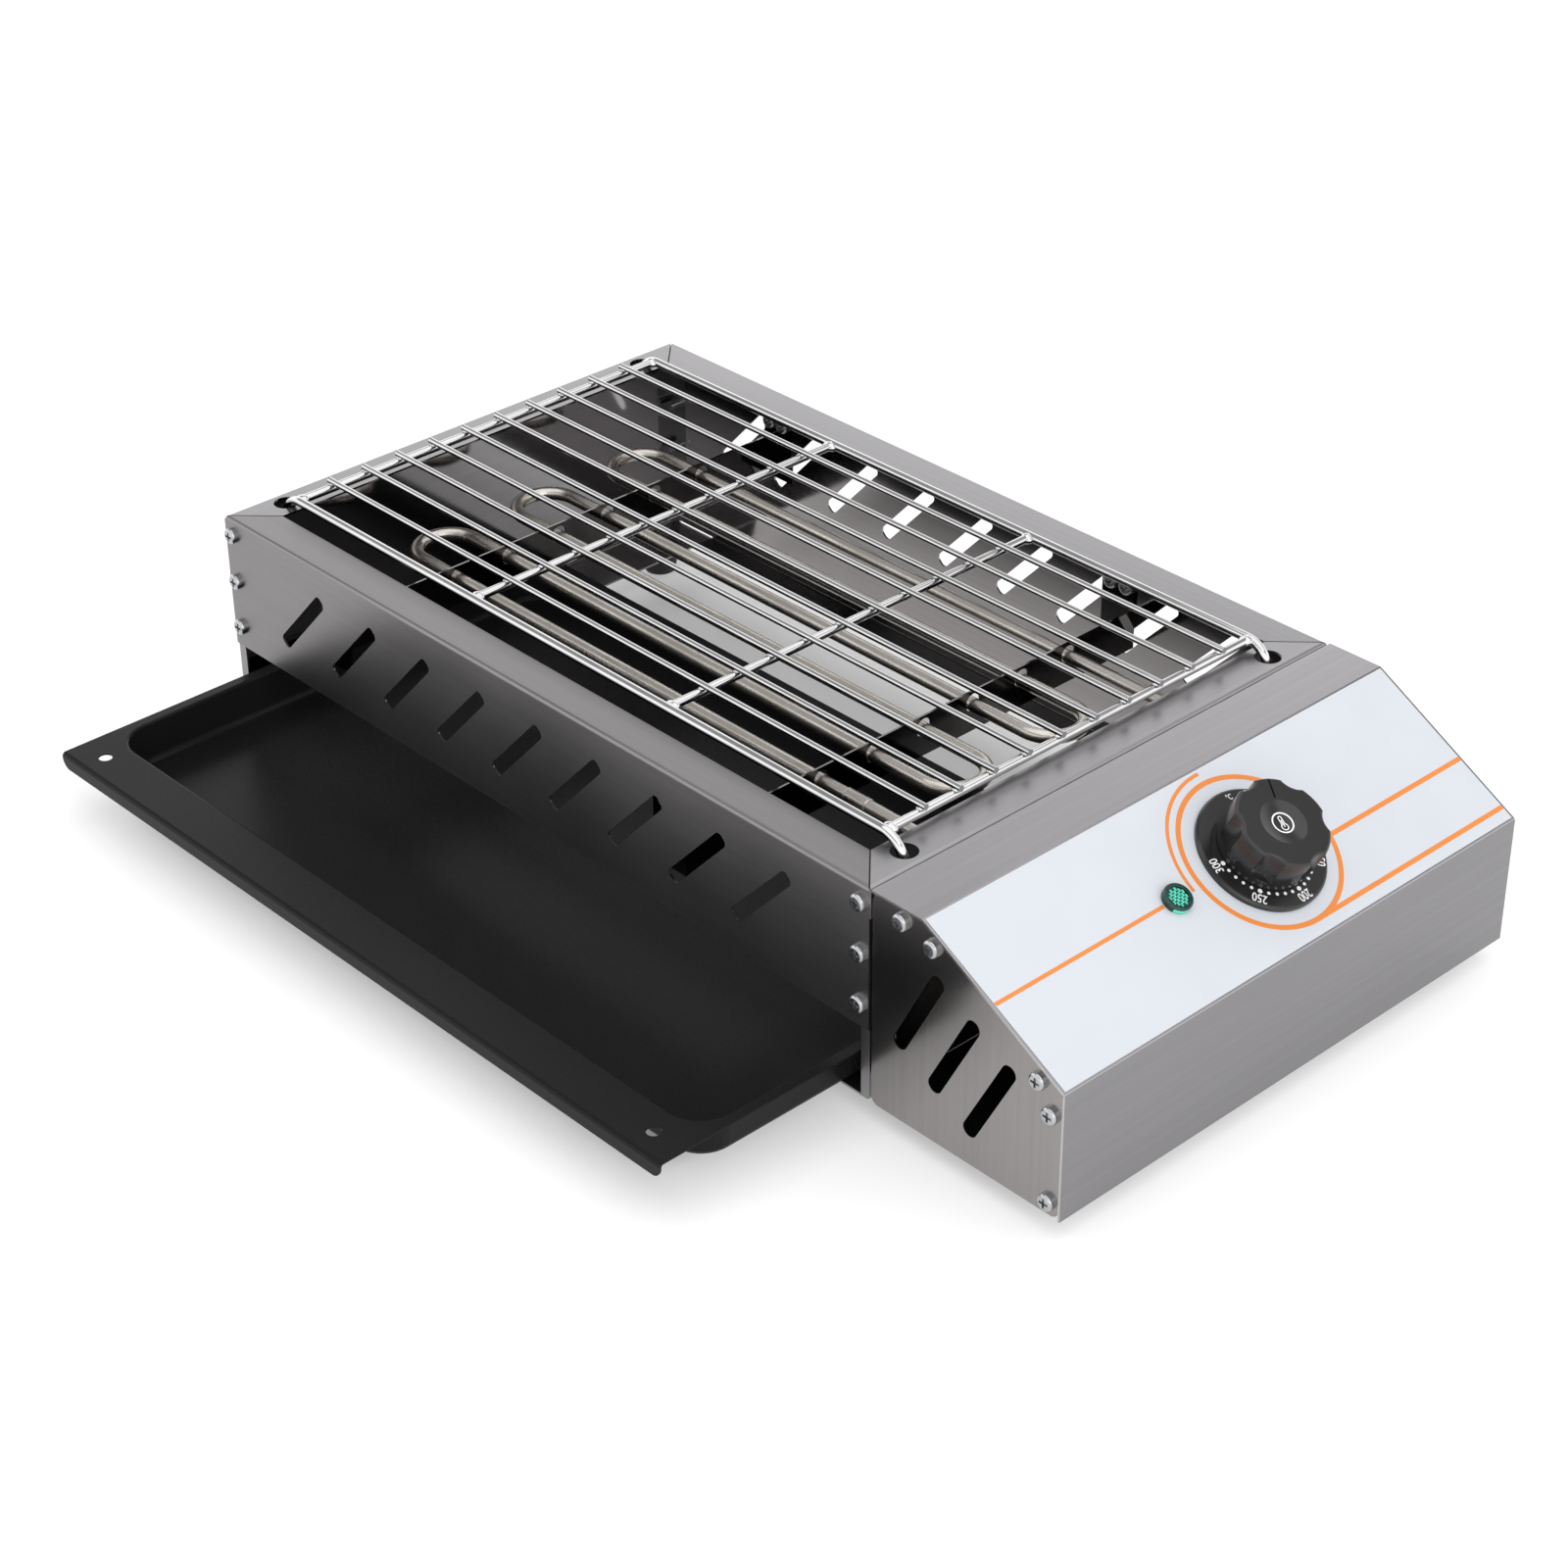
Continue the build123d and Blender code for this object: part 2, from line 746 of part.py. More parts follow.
def slope_holes():
    holes = [(Pos(knob_offset, 0), neck_hole_diameter), (Pos(lamp_offset, 0), lamp_hole_diameter)]
    clear = 2 * (screw_radius + screw_hole_gap)
    for side in (-1, 1):
        holes.append((Pos(knob_offset + side * thermostat_screw_pitch / 2, 0), clear))
    return holes


def build_control_side():
    margin = sheet + plate_gap
    outline = side_outline(margin, base_z - margin + fit_gap)
    plate = extrude(side_plane(plate_front) * outline, amount=-sheet)
    plate = fillet(plate.edges().filter_by(Axis.Y), plate_corner)
    plane = side_plane(plate_front)
    slope_ratio = slope_drop / slope_run
    for i in range(side_vent_count):
        x = body_right + side_vent_first + i * side_vent_pitch
        z = top_z - side_vent_first_drop - i * side_vent_pitch * slope_ratio
        slot = SlotOverall(side_vent_length, side_vent_width)
        slot = Pos(x, z) * Rot(0, 0, side_vent_angle) * slot
        plate -= extrude(plane * slot, amount=2 * sheet, both=True)
    return plate - side_screw_holes()


def gland_plane():
    # Local Z points out of the rear side of the control box
    x = control_end - sheet - gland_inset
    return rear_facing(x, -plate_front, base_z + gland_rise)


def build_control_side_rear():
    clear = gland_diameter / 2 + screw_hole_gap
    return mirrored(build_control_side()) - gland_plane() * Cylinder(clear, 6 * sheet)


def build_control_base():
    profile = Plane(origin=(body_right, 0, 0), x_dir=(0, 1, 0), z_dir=(1, 0, 0))
    points = (
        (-lip_front, base_z + base_upturn),
        (-lip_front, base_z),
        (lip_front, base_z),
        (lip_front, base_z + base_upturn),
    )
    base = folded_sheet(profile, points, control_length - sheet - 2 * fit_gap)
    rear_holes = [mirrored(cut) for cut in side_screw_holes()]
    return base - side_screw_holes() - rear_holes - foot_screw_holes()


def build_control_screws():
    screw = pan_screw(side_screw_length)
    screws = []
    for x, z in side_screw_places():
        screws.append(front_facing(x, plate_front, z) * screw)
        screws.append(rear_facing(x, -plate_front, z) * screw)
    return screws


def build_control_overlay():
    width = body_width - 2 * overlay_margin
    height = slope_length - overlay_top_margin - overlay_lower_margin
    middle = (overlay_lower_margin - overlay_top_margin) / 2
    overlay = Pos(0, middle, 0) * extrude(Rectangle(width, height), amount=overlay_thickness)
    for place, diameter in slope_holes():
        overlay -= place * Cylinder(diameter / 2, 6 * sheet)
    return slope_plane * overlay


def thermostat_screw_spots():
    return [Pos(knob_offset + side * thermostat_screw_pitch / 2, 0, 0) for side in (-1, 1)]


def build_dial_ring():
    # Fixed scale plate under the knob
    dial = extrude(Circle(dial_diameter / 2), amount=dial_height)
    dial = chamfer(dial.edges().group_by(Axis.Z)[-1], dial_bevel)
    dial -= Cylinder(neck_hole_diameter / 2, 4 * dial_height)
    dial = Pos(knob_offset, 0, overlay_thickness) * dial
    for spot in thermostat_screw_spots():
        dial -= spot * Cylinder(screw_radius + screw_hole_gap, 4 * dial_height)
    return slope_plane * dial


def dial_top():
    return overlay_thickness + dial_height


def build_thermostat_body():
    outline = RectangleRounded(thermostat_width, thermostat_width, 2 * sheet)
    case = extrude(outline, amount=-thermostat_depth)
    case = Pos(0, 0, -sheet) * case
    neck_top = dial_top() + neck_rise
    neck = Pos(0, 0, -sheet) * extrude(Circle(neck_diameter / 2), amount=sheet + neck_top)
    case += neck
    bore = shaft_diameter / 2 + shaft_clearance
    case -= Pos(0, 0, neck_top) * Cylinder(bore, 2 * (neck_top + shaft_depth + shaft_clearance))
    case = Pos(knob_offset, 0, 0) * case
    for spot in thermostat_screw_spots():
        depth = sheet + thermostat_screw_bite + fit_gap
        case -= spot * Cylinder(screw_radius + screw_hole_gap, 2 * depth)
    return slope_plane * case


def build_thermostat_screws():
    length = dial_top() + sheet + thermostat_screw_bite
    screw = pan_screw(length, head_height=thermostat_screw_head)
    return [slope_plane * spot * Pos(0, 0, dial_top()) * screw for spot in thermostat_screw_spots()]


def shaft_section():
    cut = Pos(0, shaft_diameter - shaft_flat) * Rectangle(2 * shaft_diameter, shaft_diameter)
    return Circle(shaft_diameter / 2) - cut


def knob_bottom():
    return dial_top() + knob_gap


def shaft_top():
    return knob_bottom() + knob_hub_rise + shaft_engagement


def build_thermostat_shaft():
    length = shaft_top() + shaft_depth
    lower = extrude(Circle(shaft_diameter / 2), amount=length - shaft_engagement)
    lower = Pos(0, 0, -shaft_depth) * lower
    upper_start = shaft_top() - shaft_engagement
    upper = Pos(0, 0, upper_start) * extrude(shaft_section(), amount=shaft_engagement)
    return slope_plane * Pos(knob_offset, 0, 0) * Rot(0, 0, -pointer_angle) * (lower + upper)


def build_control_knob():
    base = extrude(Circle(knob_base_diameter / 2), amount=knob_base_height)
    grip = extrude(Circle(knob_grip_diameter / 2), amount=knob_height - knob_base_height)
    reach = knob_grip_diameter / 2 - scallop_depth + scallop_radius
    for i in range(knob_lobes):
        turn = Rot(0, 0, 360 * (i + 0.5) / knob_lobes)
        grip -= turn * Pos(0, reach, 0) * Cylinder(scallop_radius, 4 * knob_height)
    grip = fillet(grip.edges().group_by(Axis.Z)[-1], knob_edge)
    knob = base + Pos(0, 0, knob_base_height) * grip
    hollow = extrude(Circle(knob_base_diameter / 2 - knob_wall), amount=knob_hollow)
    hub = extrude(Circle(knob_hub_diameter / 2), amount=knob_hollow)
    knob -= hollow - Pos(0, 0, knob_hub_rise) * hub
    knob -= Pos(0, 0, knob_hub_rise) * extrude(shaft_section(), amount=shaft_engagement)
    ball = (dish_radius**2 + dish_depth**2) / (2 * dish_depth)
    knob -= Pos(0, 0, knob_height + ball - dish_depth) * Sphere(ball)
    groove_length = knob_grip_diameter / 2 - dish_radius
    groove_middle = dish_radius + groove_length / 2 + pointer_width
    groove = Box(pointer_width, groove_length, 2 * pointer_depth)
    knob -= Pos(0, groove_middle, knob_height) * groove
    place = Pos(knob_offset, 0, knob_bottom()) * Rot(0, 0, -pointer_angle)
    return slope_plane * place * knob


def build_lamp_lens():
    lens = extrude(Circle(lamp_diameter / 2), amount=lamp_height)
    lens = fillet(lens.edges().group_by(Axis.Z)[-1], lamp_edge)
    return slope_plane * Pos(lamp_offset, 0, overlay_thickness) * lens


def build_lamp_body():
    body = Cylinder(lamp_stem_diameter / 2, lamp_length)
    return slope_plane * Pos(lamp_offset, 0, overlay_thickness - lamp_length / 2) * body


def build_lamp_nut():
    nut = extrude(RegularPolygon(lamp_nut_width / sqrt(3), 6), amount=-lamp_nut_height)
    nut -= Cylinder(lamp_stem_diameter / 2, 4 * lamp_nut_height)
    return slope_plane * Pos(lamp_offset, 0, -sheet) * nut


def capillary_y():
    return knob_offset - bulb_length / 2 - 2 * capillary_bend


def bulb_x():
    return body_right - sheet - bulb_diameter / 2 - sheet


def build_thermostat_bulb():
    # Sensing bulb along the end panel, with its thin tube led into the control box
    z = top_z - bulb_drop
    bulb = Rot(90, 0, 0) * Cylinder(bulb_diameter / 2, bulb_length)
    bulb = Pos(bulb_x(), knob_offset, z) * bulb
    side = knob_offset - thermostat_width / 4
    goal = (slope_plane * Pos(side, 0, -sheet - thermostat_depth)).position
    below = (slope_plane * Pos(side, 0, -2 * thermostat_depth)).position
    start = (bulb_x(), knob_offset - bulb_length / 2, z)
    points = (
        start,
        (bulb_x(), capillary_y(), z),
        (below.X, capillary_y(), z),
        below,
        goal,
    )
    path = FilletPolyline(*points, radius=capillary_bend)
    section = Plane(origin=path @ 0, z_dir=path % 0) * Circle(capillary_diameter / 2)
    return bulb + sweep(section, path=path)


def build_bulb_clips():
    # Saddles that hold the bulb on the inside of the end panel
    z = top_z - bulb_drop
    outer = bulb_diameter / 2 + sheet
    wall = body_right - sheet
    clips = []
    for side in (-1, 1):
        y = knob_offset + side * bulb_length / 3
        ring = Pos(bulb_x(), y, z) * Rot(90, 0, 0) * Cylinder(outer, bulb_clip_width)
        ears = block(
            (wall - sheet, y - bulb_clip_width / 2, z - 2 * outer),
            (wall, y + bulb_clip_width / 2, z + 2 * outer),
        )
        bore = Rot(90, 0, 0) * Cylinder(bulb_diameter / 2, 2 * bulb_clip_width)
        bore = Pos(bulb_x(), y, z) * bore
        beyond = block(
            (wall, y - bulb_clip_width, z - 2 * outer),
            (wall + outer, y + bulb_clip_width, z + 2 * outer),
        )
        clips.append(ring + ears - bore - beyond)
    return clips


def terminal_spots():
    x = body_right + terminal_inset
    pitch = terminal_length / terminal_poles
    first = terminal_offset - (terminal_poles - 1) / 2 * pitch
    return [(x, first + i * pitch) for i in range(terminal_poles)]


def build_terminal_block():
    x = body_right + terminal_inset
    floor = base_z + sheet
    low = (x - terminal_width / 2, terminal_offset - terminal_length / 2, floor)
    high = (x + terminal_width / 2, terminal_offset + terminal_length / 2, floor + terminal_height)
    body = block(low, high)
    for spot_x, spot_y in terminal_spots():
        wire_z = floor + terminal_height / 2
        bore = Rot(0, 90, 0) * Cylinder(terminal_bore / 2, 2 * terminal_width)
        body -= Pos(spot_x, spot_y, wire_z) * bore
        thread = Cylinder(terminal_screw_diameter / 2, terminal_height)
        body -= Pos(spot_x, spot_y, floor + terminal_height) * thread
    return body


def build_terminal_screws():
    top = base_z + sheet + terminal_height
    length = terminal_height / 2 - terminal_bore / 2
    screw = Cylinder(terminal_screw_diameter / 2, length)
    slot = Box(2 * terminal_screw_diameter, recess_width / 2, recess_depth)
    screw -= Pos(0, 0, length / 2) * slot
    return [Pos(x, y, top - length / 2) * screw for x, y in terminal_spots()]


def build_cord_gland():
    stem = Pos(0, 0, -gland_length) * extrude(Circle(gland_diameter / 2), amount=gland_length)
    head = extrude(Circle(gland_flange_diameter / 2), amount=gland_flange_height)
    head = fillet(head.edges().group_by(Axis.Z)[-1], knob_edge)
    gland = stem + head - Cylinder(gland_bore / 2, 4 * (gland_length + gland_flange_height))
    return gland_plane() * gland


def build_gland_nut():
    nut = extrude(RegularPolygon(gland_nut_width / sqrt(3), 6), amount=-gland_nut_height)
    nut -= Cylinder(gland_diameter / 2, 4 * gland_nut_height)
    return gland_plane() * Pos(0, 0, -sheet) * nut


nodes = {
    "front_panel": build_front_panel(),
    "rear_panel": build_rear_panel(),
    "left_end_panel": build_left_end_panel(),
    "right_end_panel": build_right_end_panel(),
    "panel_screws": build_panel_screws(),
    "grill_grate": build_grill_grate(),
    "heating_element": build_heating_element(),
    "element_bushings": build_element_bushings(),
    "element_nuts": build_element_nuts(),
    "element_insulators": build_element_insulators(),
    "element_pins": build_element_pins(),
    "element_bracket_left": build_bracket(*bracket_frames()[0]),
    "element_bracket_right": build_bracket(*bracket_frames()[1]),
    "bracket_screws": build_bracket_screws(),
    "drip_tray": build_drip_tray(),
    "rubber_feet": build_rubber_feet(),
    "foot_screws": build_foot_screws(),
    "control_cover": build_control_cover(),
    "control_side_front": build_control_side(),
    "control_side_rear": build_control_side_rear(),
    "control_base": build_control_base(),
    "control_screws": build_control_screws(),
    "control_overlay": build_control_overlay(),
    "dial_ring": build_dial_ring(),
    "thermostat_body": build_thermostat_body(),
    "thermostat_screws": build_thermostat_screws(),
    "thermostat_shaft": build_thermostat_shaft(),
    "thermostat_bulb": build_thermostat_bulb(),
    "bulb_clips": build_bulb_clips(),
    "control_knob": build_control_knob(),
    "lamp_lens": build_lamp_lens(),
    "lamp_body": build_lamp_body(),
    "lamp_nut": build_lamp_nut(),
    "terminal_block": build_terminal_block(),
    "terminal_screws": build_terminal_screws(),
    "cord_gland": build_cord_gland(),
    "gland_nut": build_gland_nut(),
}

for name, shape in nodes.items():
    solid = Compound(children=shape) if isinstance(shape, list) else shape
    export_step(solid, f"parts/{name}.step")
    print(name, round(solid.volume, 1))
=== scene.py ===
import bpy
import bmesh
import math
import random
from mathutils import Matrix, Vector


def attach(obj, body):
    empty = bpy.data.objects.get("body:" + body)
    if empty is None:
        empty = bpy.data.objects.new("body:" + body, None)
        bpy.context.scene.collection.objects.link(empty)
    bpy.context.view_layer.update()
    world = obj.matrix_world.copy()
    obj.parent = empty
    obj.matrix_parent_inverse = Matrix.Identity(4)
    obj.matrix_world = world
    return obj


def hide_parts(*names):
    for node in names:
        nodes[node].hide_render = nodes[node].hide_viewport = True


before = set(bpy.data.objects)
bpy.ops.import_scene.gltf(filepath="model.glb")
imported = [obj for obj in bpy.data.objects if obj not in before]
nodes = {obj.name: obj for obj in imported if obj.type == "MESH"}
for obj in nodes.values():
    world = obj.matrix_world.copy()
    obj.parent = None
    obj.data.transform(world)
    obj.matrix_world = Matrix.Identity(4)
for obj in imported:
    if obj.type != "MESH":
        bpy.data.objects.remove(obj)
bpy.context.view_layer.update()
random.seed(7)
print("frame loaded:", len(nodes), "nodes")

# slope of the control box: its middle, the way it faces and the thickness of its film, in metres
slope = {
    "middle": Vector((0.23155, 0.0, 0.0927)),
    "normal": Vector((0.48458, 0.0, 0.874747)),
    "film": 0.0003,
}
slopeAcross = Vector((0, 1, 0))
slopeUp = slope["normal"].cross(slopeAcross)


def onSlope(across, up, height):
    return slope["middle"] + slopeAcross * across + slopeUp * up + slope["normal"] * height


noiseSpan = (0.3, 0.7)  # most of a noise lies between these


# node helpers for the finishes
def newFinish(name, metal=False):
    finish = bpy.data.materials.new(name)
    finish.use_nodes = True
    tree = finish.node_tree
    tree.nodes.clear()
    out = tree.nodes.new("ShaderNodeOutputMaterial")
    shader = tree.nodes.new("ShaderNodeBsdfPrincipled")
    tree.links.new(shader.outputs["BSDF"], out.inputs["Surface"])
    if metal:
        shader.inputs["Metallic"].default_value = 1.0
    return finish, tree, shader


def place(tree, stretch=(1, 1, 1), shift=(0, 0, 0)):
    coord = tree.nodes.new("ShaderNodeTexCoord")
    mapping = tree.nodes.new("ShaderNodeMapping")
    mapping.inputs["Scale"].default_value = stretch
    mapping.inputs["Location"].default_value = shift
    tree.links.new(coord.outputs["Object"], mapping.inputs["Vector"])
    return mapping.outputs["Vector"]


def split(tree, vector):
    node = tree.nodes.new("ShaderNodeSeparateXYZ")
    tree.links.new(vector, node.inputs["Vector"])
    return node.outputs


def noise(tree, vector, scale, detail=3.0, rough=0.55):
    node = tree.nodes.new("ShaderNodeTexNoise")
    node.inputs["Scale"].default_value = scale
    node.inputs["Detail"].default_value = detail
    node.inputs["Roughness"].default_value = rough
    tree.links.new(vector, node.inputs["Vector"])
    return node.outputs["Fac"]


def spread(tree, value, low, high, outLow, outHigh):
    node = tree.nodes.new("ShaderNodeMapRange")
    for key, number in (("From Min", low), ("From Max", high), ("To Min", outLow), ("To Max", outHigh)):
        node.inputs[key].default_value = number
    tree.links.new(value, node.inputs["Value"])
    return node.outputs["Result"]


def colours(tree, value, stops):
    node = tree.nodes.new("ShaderNodeValToRGB")
    ramp = node.color_ramp
    while len(ramp.elements) < len(stops):
        ramp.elements.new(0.5)
    for element, (at, colour) in zip(ramp.elements, stops):
        element.position = at
        element.color = (*colour, 1)
    tree.links.new(value, node.inputs["Fac"])
    return node.outputs["Color"]


def between(tree, value, dark, light):
    # one colour to another over the span of a noise
    return colours(tree, value, tuple(zip(noiseSpan, (dark, light))))


def combined(tree, first, second, way="ADD"):
    node = tree.nodes.new("ShaderNodeMath")
    node.operation = way
    tree.links.new(first, node.inputs[0])
    tree.links.new(second, node.inputs[1])
    return node.outputs["Value"]


def mixed(tree, first, second, way, share=None):
    node = tree.nodes.new("ShaderNodeMix")
    node.data_type = "RGBA"
    node.blend_type = way
    node.inputs["Factor"].default_value = 1.0
    if share:
        tree.links.new(share, node.inputs["Factor"])
    tree.links.new(first, node.inputs["A"])
    tree.links.new(second, node.inputs["B"])
    return node.outputs["Result"]


def glossy(tree, shader, value, rough, haze):
    # roughness that wanders with a noise
    tree.links.new(spread(tree, value, *noiseSpan, rough, rough + haze), shader.inputs["Roughness"])


def relief(tree, shader, height, strength, depth):
    node = tree.nodes.new("ShaderNodeBump")
    node.inputs["Strength"].default_value = strength
    node.inputs["Distance"].default_value = depth
    tree.links.new(height, node.inputs["Height"])
    tree.links.new(node.outputs["Normal"], shader.inputs["Normal"])


def facing(tree, direction, low=0.4, high=0.6):
    # 1 on faces that look in a direction, 0 on the others
    shape = tree.nodes.new("ShaderNodeNewGeometry")
    node = tree.nodes.new("ShaderNodeVectorMath")
    node.operation = "DOT_PRODUCT"
    node.inputs[1].default_value = direction
    tree.links.new(shape.outputs["Normal"], node.inputs[0])
    return spread(tree, node.outputs["Value"], low, high, 0, 1)


def past(tree, axis, start, way=1, soft=0.002):
    # 1 on one side of a level of the object, 0 on the other
    low, high = (0, 1) if way > 0 else (1, 0)
    return spread(tree, split(tree, place(tree))[axis], start - soft, start, low, high)


def scaled(values, share):
    return tuple(value * share for value in values)


def grey(level):
    return (level, level, level)


# satin sheet with fine grain along one axis, wider strokes and faint smudges
# faces that look one given way, the inner faces of the panels and the top faces of the cover, are lighter:
# painted reflection
brushedSheet = {
    "dark": (0.275, 0.268, 0.276),
    "light": (0.285, 0.277, 0.286),
    "sheenDark": (0.43, 0.42, 0.425),
    "sheenLight": (0.47, 0.46, 0.465),
    "polish": 0.22,
    "haze": 0.03,
    "hazeSpan": (0.25, 0.75),
    "sheenPolish": 0.07,
    "strokeWide": 0.25,
    "strokeDark": 0.93,
    "smudgeSize": 9.0,
    "smudgeDark": 0.96,
    "smudgeSpan": (0.35, 0.7),
    "smudgeHaze": (-0.02, 0.03),
    "grainRelief": (0.004, 0.00002),
}
# painted shade: upward cut faces below a height, the lower ends of the slots, are dark
vents = {"ventEdge": (0.03, 0.03, 0.03), "ventLift": 1.3, "ventTop": 0.105}  # dark lower ends, below a height
# the sheets below are one steel in lit and shaded copies, painted light and shade: the front darker, the right
# end and side plates lighter, the side plates warmer, the cover darker on its sides with lighter tops and
# brighter cut edges, the rear inside lighter and the left inside darker
frontSheet = dict(brushedSheet, **vents, dark=(0.237, 0.228, 0.228), light=(0.247, 0.238, 0.238), polish=0.31)
rearSheet = dict(brushedSheet, **vents, sheenDark=(0.55, 0.52, 0.52), sheenLight=(0.58, 0.55, 0.55))
leftSheet = dict(brushedSheet, sheenDark=(0.33, 0.32, 0.325), sheenLight=(0.36, 0.35, 0.355))
rightSheet = dict(brushedSheet, dark=(0.325, 0.317, 0.326), light=(0.339, 0.330, 0.340), polish=0.29)
sideSheet = dict(brushedSheet, dark=(0.300, 0.287, 0.282), light=(0.312, 0.299, 0.294), polish=0.18)
coverSheet = dict(brushedSheet, dark=(0.252, 0.246, 0.253), light=(0.262, 0.256, 0.263), sheenPolish=0.22,
                  sheenDark=(0.318, 0.310, 0.319), sheenLight=(0.330, 0.321, 0.331),
                  cutEdge=(0.50, 0.49, 0.485), cutLift=1.05, cutSpan=(0.9, 0.98))


def brushed(name, grain, sheenFacing=None, look=brushedSheet):
    finish, tree, shader = newFinish(name, metal=True)
    fine = noise(tree, place(tree, grain), 1.0, detail=4.0, rough=0.65)
    smudge = noise(tree, place(tree), look["smudgeSize"], detail=2.0, rough=0.5)
    base = between(tree, fine, look["dark"], look["light"])
    gloss = spread(tree, fine, *look["hazeSpan"], look["polish"], look["polish"] + look["haze"])
    # painted reflection: faces looking the sheen way get a lighter tone and their own polish
    if sheenFacing:
        sheenShare = facing(tree, sheenFacing)
        inner = between(tree, fine, look["sheenDark"], look["sheenLight"])
        base = mixed(tree, base, inner, "MIX", sheenShare)
        change = look["sheenPolish"] - look["polish"]
        gloss = combined(tree, gloss, spread(tree, sheenShare, 0, 1, 0, change))
    # painted shade on the upward cut faces of the slots below a height
    if "ventEdge" in look:
        cut = combined(tree, facing(tree, (0, 0, 1)), past(tree, "Z", look["ventTop"], -1), "MULTIPLY")
        ventShade = between(tree, fine, look["ventEdge"], scaled(look["ventEdge"], look["ventLift"]))
        base = mixed(tree, base, ventShade, "MIX", cut)
    # painted highlight on the cover's cut edges, the faces looking forward or back
    if "cutEdge" in look:
        ends = combined(tree, *(facing(tree, (0, way, 0), *look["cutSpan"]) for way in (-1, 1)))
        cutEdgeHighlight = between(tree, fine, look["cutEdge"], scaled(look["cutEdge"], look["cutLift"]))
        base = mixed(tree, base, cutEdgeHighlight, "MIX", ends)
    stroke = noise(tree, place(tree, scaled(grain, look["strokeWide"])), 1.0, detail=2.0)
    for pattern, level in ((stroke, look["strokeDark"]), (smudge, look["smudgeDark"])):
        base = mixed(tree, base, between(tree, pattern, grey(level), grey(1)), "MULTIPLY")
    tree.links.new(base, shader.inputs["Base Color"])
    smear = spread(tree, smudge, *look["smudgeSpan"], *look["smudgeHaze"])
    tree.links.new(combined(tree, gloss, smear), shader.inputs["Roughness"])
    relief(tree, shader, fine, *look["grainRelief"])
    return finish


# smooth bright metal: zinc plating, copper and brass
brightMetal = {"speckle": 300.0, "relief": (0.02, 0.00003)}


def bright(name, dark, light, polish, haze):
    finish, tree, shader = newFinish(name, metal=True)
    cloud = noise(tree, place(tree), brightMetal["speckle"])
    tree.links.new(between(tree, cloud, dark, light), shader.inputs["Base Color"])
    glossy(tree, shader, cloud, polish, haze)
    dents = noise(tree, place(tree), brightMetal["speckle"] / 2, detail=2.0)
    relief(tree, shader, dents, *brightMetal["relief"])
    return finish


# metal with dark faces and bright ones, the bright ones painted highlights: bracket strip with bright top
# edges, rods of the grate with flanks darkened as painted shade
darkStrip = {
    "deep": (0.045, 0.043, 0.042),
    "deepPale": (0.075, 0.072, 0.070),
    "edge": (0.20, 0.195, 0.19),
    "edgeLift": 1.15,
    "topSpan": (0.4, 0.6),
    "polish": 0.05,
    "haze": 0.05,
    "patches": 45.0,
    "relief": (0.02, 0.00003),
}
# grate rods: the dark flanks are painted shade; top, underside and the outer side of the end rod past endFrom
# are painted highlights
grateWire = dict(darkStrip, deep=(0.030, 0.030, 0.031), deepPale=(0.045, 0.045, 0.046), edge=(0.53, 0.527, 0.53),
                 polish=0.08, topSpan=(0.0, 0.3), underSpan=(0.3, 0.5), endSpan=(0.5, 0.7), endFrom=0.138)


def heatDark(name, look=darkStrip):
    finish, tree, shader = newFinish(name, metal=True)
    cloud = noise(tree, place(tree), look["patches"])
    face = between(tree, cloud, look["deep"], look["deepPale"])
    rim = between(tree, cloud, look["edge"], scaled(look["edge"], look["edgeLift"]))
    # painted highlight on faces looking up, and on the grate also underneath and on the end rod's outer side
    share = facing(tree, (0, 0, 1), *look["topSpan"])
    if "endFrom" in look:
        under = facing(tree, (0, 0, -1), *look["underSpan"])
        outer = facing(tree, (1, 0, 0), *look["endSpan"])
        ends = combined(tree, outer, past(tree, "X", look["endFrom"]), "MULTIPLY")
        share = combined(tree, combined(tree, share, under, "MAXIMUM"), ends, "MAXIMUM")
    tree.links.new(mixed(tree, face, rim, "MIX", share), shader.inputs["Base Color"])
    glossy(tree, shader, cloud, look["polish"], look["haze"])
    relief(tree, shader, cloud, *look["relief"])
    return finish


# drawn tube of the element, warm grey with heat tint in patches
elementTube = {
    "cool": (0.60, 0.565, 0.525),
    "tint": (0.46, 0.428, 0.39),
    "tintSpan": (0.34, 0.6),
    "patches": 26.0,
    "patchStretch": (1, 3, 3),
    "drawStretch": (6, 900, 900),
    "drawDark": 0.95,
    "rough": 0.33,
    "haze": -0.12,
    "relief": (0.015, 0.00003),
}


def heatTinted(name, look=elementTube):
    finish, tree, shader = newFinish(name, metal=True)
    patch = noise(tree, place(tree, look["patchStretch"]), look["patches"], detail=4.0)
    drawn = noise(tree, place(tree, look["drawStretch"]), 1.0)
    base = colours(tree, patch, tuple(zip(look["tintSpan"], (look["tint"], look["cool"]))))
    streak = between(tree, drawn, grey(look["drawDark"]), grey(1))
    tree.links.new(mixed(tree, base, streak, "MULTIPLY"), shader.inputs["Base Color"])
    glossy(tree, shader, patch, look["rough"], look["haze"])
    relief(tree, shader, drawn, *look["relief"])
    return finish


# coated, moulded or fired surfaces
coating = {"patches": 7.0, "depth": 0.00004}


def coated(name, deep, raised, rough, haze, grainSize, strength, shine=0.5):
    finish, tree, shader = newFinish(name)
    grain = noise(tree, place(tree), grainSize)
    broad = noise(tree, place(tree), coating["patches"], detail=2.0)
    tree.links.new(between(tree, broad, deep, raised), shader.inputs["Base Color"])
    glossy(tree, shader, grain, rough, haze)
    shader.inputs["Specular IOR Level"].default_value = shine
    relief(tree, shader, grain, strength, coating["depth"])
    return finish


